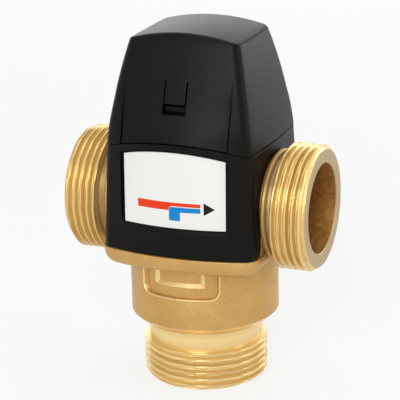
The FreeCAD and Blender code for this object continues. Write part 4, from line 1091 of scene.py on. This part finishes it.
# ------------------------------------------------------------------- label

class Ink(Enum):
    """The inks of the label's flow mark."""
    RED = "ink_red"
    BLUE = "ink_blue"
    BLACK = "ink_black"


@dataclass(frozen=True)
class Mark:
    """One printed field of the label: an outline in the XZ plane, in millimetres."""
    name: str
    ink: Ink
    outline: tuple[tuple[float, float], ...]


@dataclass
class Label:
    """The white label with its flow mark: hot, cold and mixed water as bars with an arrow."""
    lift: float = 0.03 * MM             # how far a mark stands out of the film
    thickness: float = 0.024 * MM
    cell: float = 0.7 * MM              # width of the strips that follow the film's curve
    clearance: float = 10.0 * MM
    marks: tuple[Mark, ...] = (
        Mark("hot_bar", Ink.RED, ((-12.3, 65.7), (-1.3, 65.7), (-0.9, 66.7), (-0.3, 67.2),
                                  (9.55, 67.2), (9.55, 68.4), (-12.3, 68.4))),
        Mark("cold_bar", Ink.BLUE, ((-1.1, 62.3), (2.7, 62.3), (2.7, 65.2), (9.55, 65.35),
                                    (9.55, 66.9), (-0.3, 66.9), (-0.85, 66.6), (-1.1, 66.0))),
        Mark("mixed_arrow", Ink.BLACK, ((10.6, 64.7), (14.2, 66.8), (10.6, 68.9))),
    )

    def build(self, palette: Palette) -> None:
        """Make the plate and its printed marks.

        Args:
            palette: the finishes.
        """
        plate = put("label", merged("label_plate"), [palette["label_white"]])
        stand_for(plate, "valve", "label_film", "label_plate")
        ground = bmesh.new()
        ground.from_mesh(plate.data)
        surface = BVHTree.FromBMesh(ground)
        for mark in self.marks:
            piece = self.print_mark(mark, surface, palette)
            stand_for(piece, "valve", "label_film")
        ground.free()

    def print_mark(self, mark: Mark, surface: BVHTree, palette: Palette) -> bpy.types.Object:
        """Lay a mark on the label's face as a thin closed film.

        Args:
            mark: the mark.
            surface: the label, to lay it on.
            palette: the finishes.

        Returns:
            The piece.
        """
        ahead = CAD_BOX[0].y - self.clearance
        mesh = bmesh.new()
        verts = [mesh.verts.new((x * MM, ahead, z * MM)) for x, z in mark.outline]
        mesh.faces.new(verts)
        low = min(x for x, _ in mark.outline) * MM
        high = max(x for x, _ in mark.outline) * MM
        cuts = int((high - low) / self.cell)
        for number in range(1, cuts):
            place = (low + (high - low) * number / cuts, 0, 0)
            geometry = mesh.verts[:] + mesh.edges[:] + mesh.faces[:]
            bmesh.ops.bisect_plane(mesh, geom=geometry, dist=ON_PLANE, plane_co=place,
                                   plane_no=(1, 0, 0))
        for vert in mesh.verts:
            hit, _, _, _ = surface.ray_cast(vert.co, Vector((0, 1, 0)))
            vert.co.y = hit.y - self.lift
        made = bmesh.ops.extrude_face_region(mesh, geom=mesh.faces[:])
        pushed = [item for item in made["geom"] if isinstance(item, bmesh.types.BMVert)]
        bmesh.ops.translate(mesh, verts=pushed, vec=(0, self.thickness, 0))
        bmesh.ops.recalc_face_normals(mesh, faces=mesh.faces)
        return put(f"label_{mark.name}", mesh, [palette[mark.ink.value]])


# ------------------------------------------------------------- inner parts

@dataclass
class InnerParts:
    """The parts inside, each a smooth copy of its CAD node with its own finish."""
    finishes: dict[str, tuple[str, ...]] = field(default_factory=lambda: {
        "turned_brass": ("bonnet", "setting_nut", "hot_seat_ring", "cold_seat_ring", "hot_disc",
                         "cold_disc", "hot_disc_nut", "cold_disc_nut", "adjusting_spindle"),
        "copper": ("thermostat_capsule",),
        "steel": ("plunger", "element_pin", "spring_cage", "knob_screw"),
        "spring_steel": ("return_spring", "overtravel_spring", "cage_circlip", "plunger_circlip",
                         "spindle_circlip"),
        "rubber": ("hot_disc_seal", "cold_disc_seal", "bonnet_o_ring", "spindle_o_rings"),
        "knob_plastic": ("adjusting_knob",),
    })
    springs: dict[str, tuple[str, str]] = field(default_factory=lambda: {
        "return_spring": ("valve", "stem"), "overtravel_spring": ("plunger", "nut"),
    })
    end_coil: float = 1.5 * MM

    def build(self, palette: Palette) -> None:
        """Make a smooth copy of each node and dress it.

        Args:
            palette: the finishes.
        """
        record = frame["record"]
        slots = {part["node"]: part["material_slot"] for part in record["subparts"]}
        bodies = {node: body for body, nodes in record["behaviour"]["bodies"].items()
                  for node in nodes}
        dressed = [(node, finish) for finish, nodes in self.finishes.items() for node in nodes]
        for node, finish in dressed:
            piece = put(f"{node}_look", merged(node), [palette[finish]])
            if node in self.springs:
                self.stretch(piece, node)
            else:
                stand_for(piece, bodies[node], slots[node], node)

    def stretch(self, piece: bpy.types.Object, node: str) -> None:
        """Bake a spring's placement into its mesh and hide its CAD node.

        Args:
            piece: the spring.
            node: its CAD node.
        """
        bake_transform(piece)
        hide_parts(node)


# ------------------------------------------------------------------- studio

@dataclass(frozen=True)
class Softbox:
    """A rectangular studio lamp that points at the object."""
    name: str
    place: tuple[float, float, float]
    size: tuple[float, float]
    power: float
    aim: tuple[float, float, float] = (0.0, 0.0, 0.062)

    def hang(self) -> None:
        """Put the lamp in the scene."""
        data = bpy.data.lights.new(self.name, "AREA")
        data.shape = "RECTANGLE"
        data.size, data.size_y = self.size
        data.energy = self.power
        lamp = bpy.data.objects.new(self.name, data)
        lamp.location = self.place
        heading = Vector(self.aim) - Vector(self.place)
        lamp.rotation_mode = "QUATERNION"
        lamp.rotation_quaternion = heading.to_track_quat("-Z", "Y")
        bpy.context.collection.objects.link(lamp)


@dataclass
class Studio:
    """Plain pale floor, soft lamps and the camera."""
    azimuth: float = 22.006
    elevation: float = 18.53
    roll: float = -1.309
    distance: float = 596.76 * MM
    target: tuple[float, float, float] = (-1.211 * MM, 0.0, 60.423 * MM)
    lens: float = 160.12
    sensor: float = 36.0
    clip: tuple[float, float] = (0.01, 20.0)
    plain_light: float = 0.4
    floor_half: float = 4.0
    floor_gap: float = 0.1 * MM
    floor_white: float = 0.9
    floor_rough: float = 0.9
    floor_glow: float = 0.75
    lamps: tuple[Softbox, ...] = (
        Softbox("key_front", (0.05, -0.72, 0.48), (0.45, 0.45), 3.6),
        Softbox("strip_right", (0.75, 0.05, 0.3), (0.12, 0.5), 0.9),
        Softbox("top", (0.0, 0.1, 0.8), (0.7, 0.6), 1.2),
        Softbox("back_left", (-0.35, 0.8, 0.33), (0.8, 0.4), 1.5),
        Softbox("back_right", (0.5, 0.75, 0.22), (0.5, 0.35), 1.5),
    )

    def camera(self) -> None:
        """Set the camera at its angle and distance."""
        azimuth, elevation = math.radians(self.azimuth), math.radians(self.elevation)
        back = Vector((math.sin(azimuth) * math.cos(elevation),
                       -math.cos(azimuth) * math.cos(elevation), math.sin(elevation)))
        right = Vector((0, 0, 1)).cross(back).normalized()
        up = back.cross(right)
        roll = Matrix.Rotation(math.radians(self.roll), 3, "Z")
        turn = Matrix((right, up, back)).transposed() @ roll
        data = bpy.data.cameras.new("camera")
        data.lens = self.lens
        data.sensor_width = self.sensor
        data.clip_start, data.clip_end = self.clip
        eye = bpy.data.objects.new("camera", data)
        place = Vector(self.target) + back * self.distance
        eye.matrix_world = Matrix.Translation(place) @ turn.to_4x4()
        bpy.context.collection.objects.link(eye)
        bpy.context.scene.camera = eye

    @staticmethod
    def seen_share(sheet: NodeSheet) -> bpy.types.NodeSocket:
        """One where the camera, a gloss or a clear material looks, and none where light falls.

        Args:
            sheet: the sheet to add it to.

        Returns:
            The share.
        """
        path = sheet.add("LightPath")
        share = sheet.maths("MAXIMUM", path.outputs["Is Camera Ray"], path.outputs["Is Glossy Ray"])
        return sheet.maths("MAXIMUM", share, path.outputs["Is Transmission Ray"])

    def background(self) -> None:
        """White for the camera and for reflections, and a plain light on the object."""
        world = bpy.data.worlds.new("studio")
        bpy.context.scene.world = world
        world.use_nodes = True
        sheet = NodeSheet(world.node_tree)
        world.node_tree.nodes.clear()
        seen = sheet.add("Background", in_Color=WHITE, in_Strength=1.0)
        light = sheet.add("Background", in_Color=WHITE, in_Strength=self.plain_light)
        mixer = sheet.add("MixShader")
        output = sheet.add("OutputWorld")
        sheet.join(self.seen_share(sheet), mixer.inputs[0])
        sheet.join(light.outputs[0], mixer.inputs[1])
        sheet.join(seen.outputs[0], mixer.inputs[2])
        sheet.join(mixer.outputs[0], output.inputs[0])

    def floor(self) -> None:
        """A wide pale floor that keeps the object's shadow."""
        mesh = bmesh.new()
        bmesh.ops.create_grid(mesh, x_segments=1, y_segments=1, size=self.floor_half)
        bmesh.ops.translate(mesh, verts=mesh.verts, vec=(0, 0, CAD_BOX[0].z - self.floor_gap))
        material, sheet, shader = new_material("floor")
        shader.inputs["Base Color"].default_value = (*[self.floor_white] * 3, 1.0)
        shader.inputs["Roughness"].default_value = self.floor_rough
        glow = sheet.add("Emission", in_Color=WHITE, in_Strength=1.0)
        mixer = sheet.add("MixShader")
        share = sheet.maths("MULTIPLY", self.seen_share(sheet), self.floor_glow)
        output = material.node_tree.nodes["Material Output"]
        sheet.join(share, mixer.inputs[0])
        sheet.join(shader.outputs[0], mixer.inputs[1])
        sheet.join(glow.outputs[0], mixer.inputs[2])
        sheet.join(mixer.outputs[0], output.inputs["Surface"])
        put("floor", mesh, [material])

    def build(self) -> None:
        """Set up the whole studio."""
        bpy.context.scene.view_settings.view_transform = "Standard"
        self.camera()
        self.background()
        self.floor()
        for lamp in self.lamps:
            lamp.hang()


def main() -> None:
    """Build every sub-assembly in order."""
    logging.basicConfig(level=logging.INFO, format="%(message)s")
    palette = Palette()
    Casting().build(palette)
    Cover().build(palette)
    Label().build(palette)
    InnerParts().build(palette)
    Studio().build()


if __name__ == "__main__":
    main()
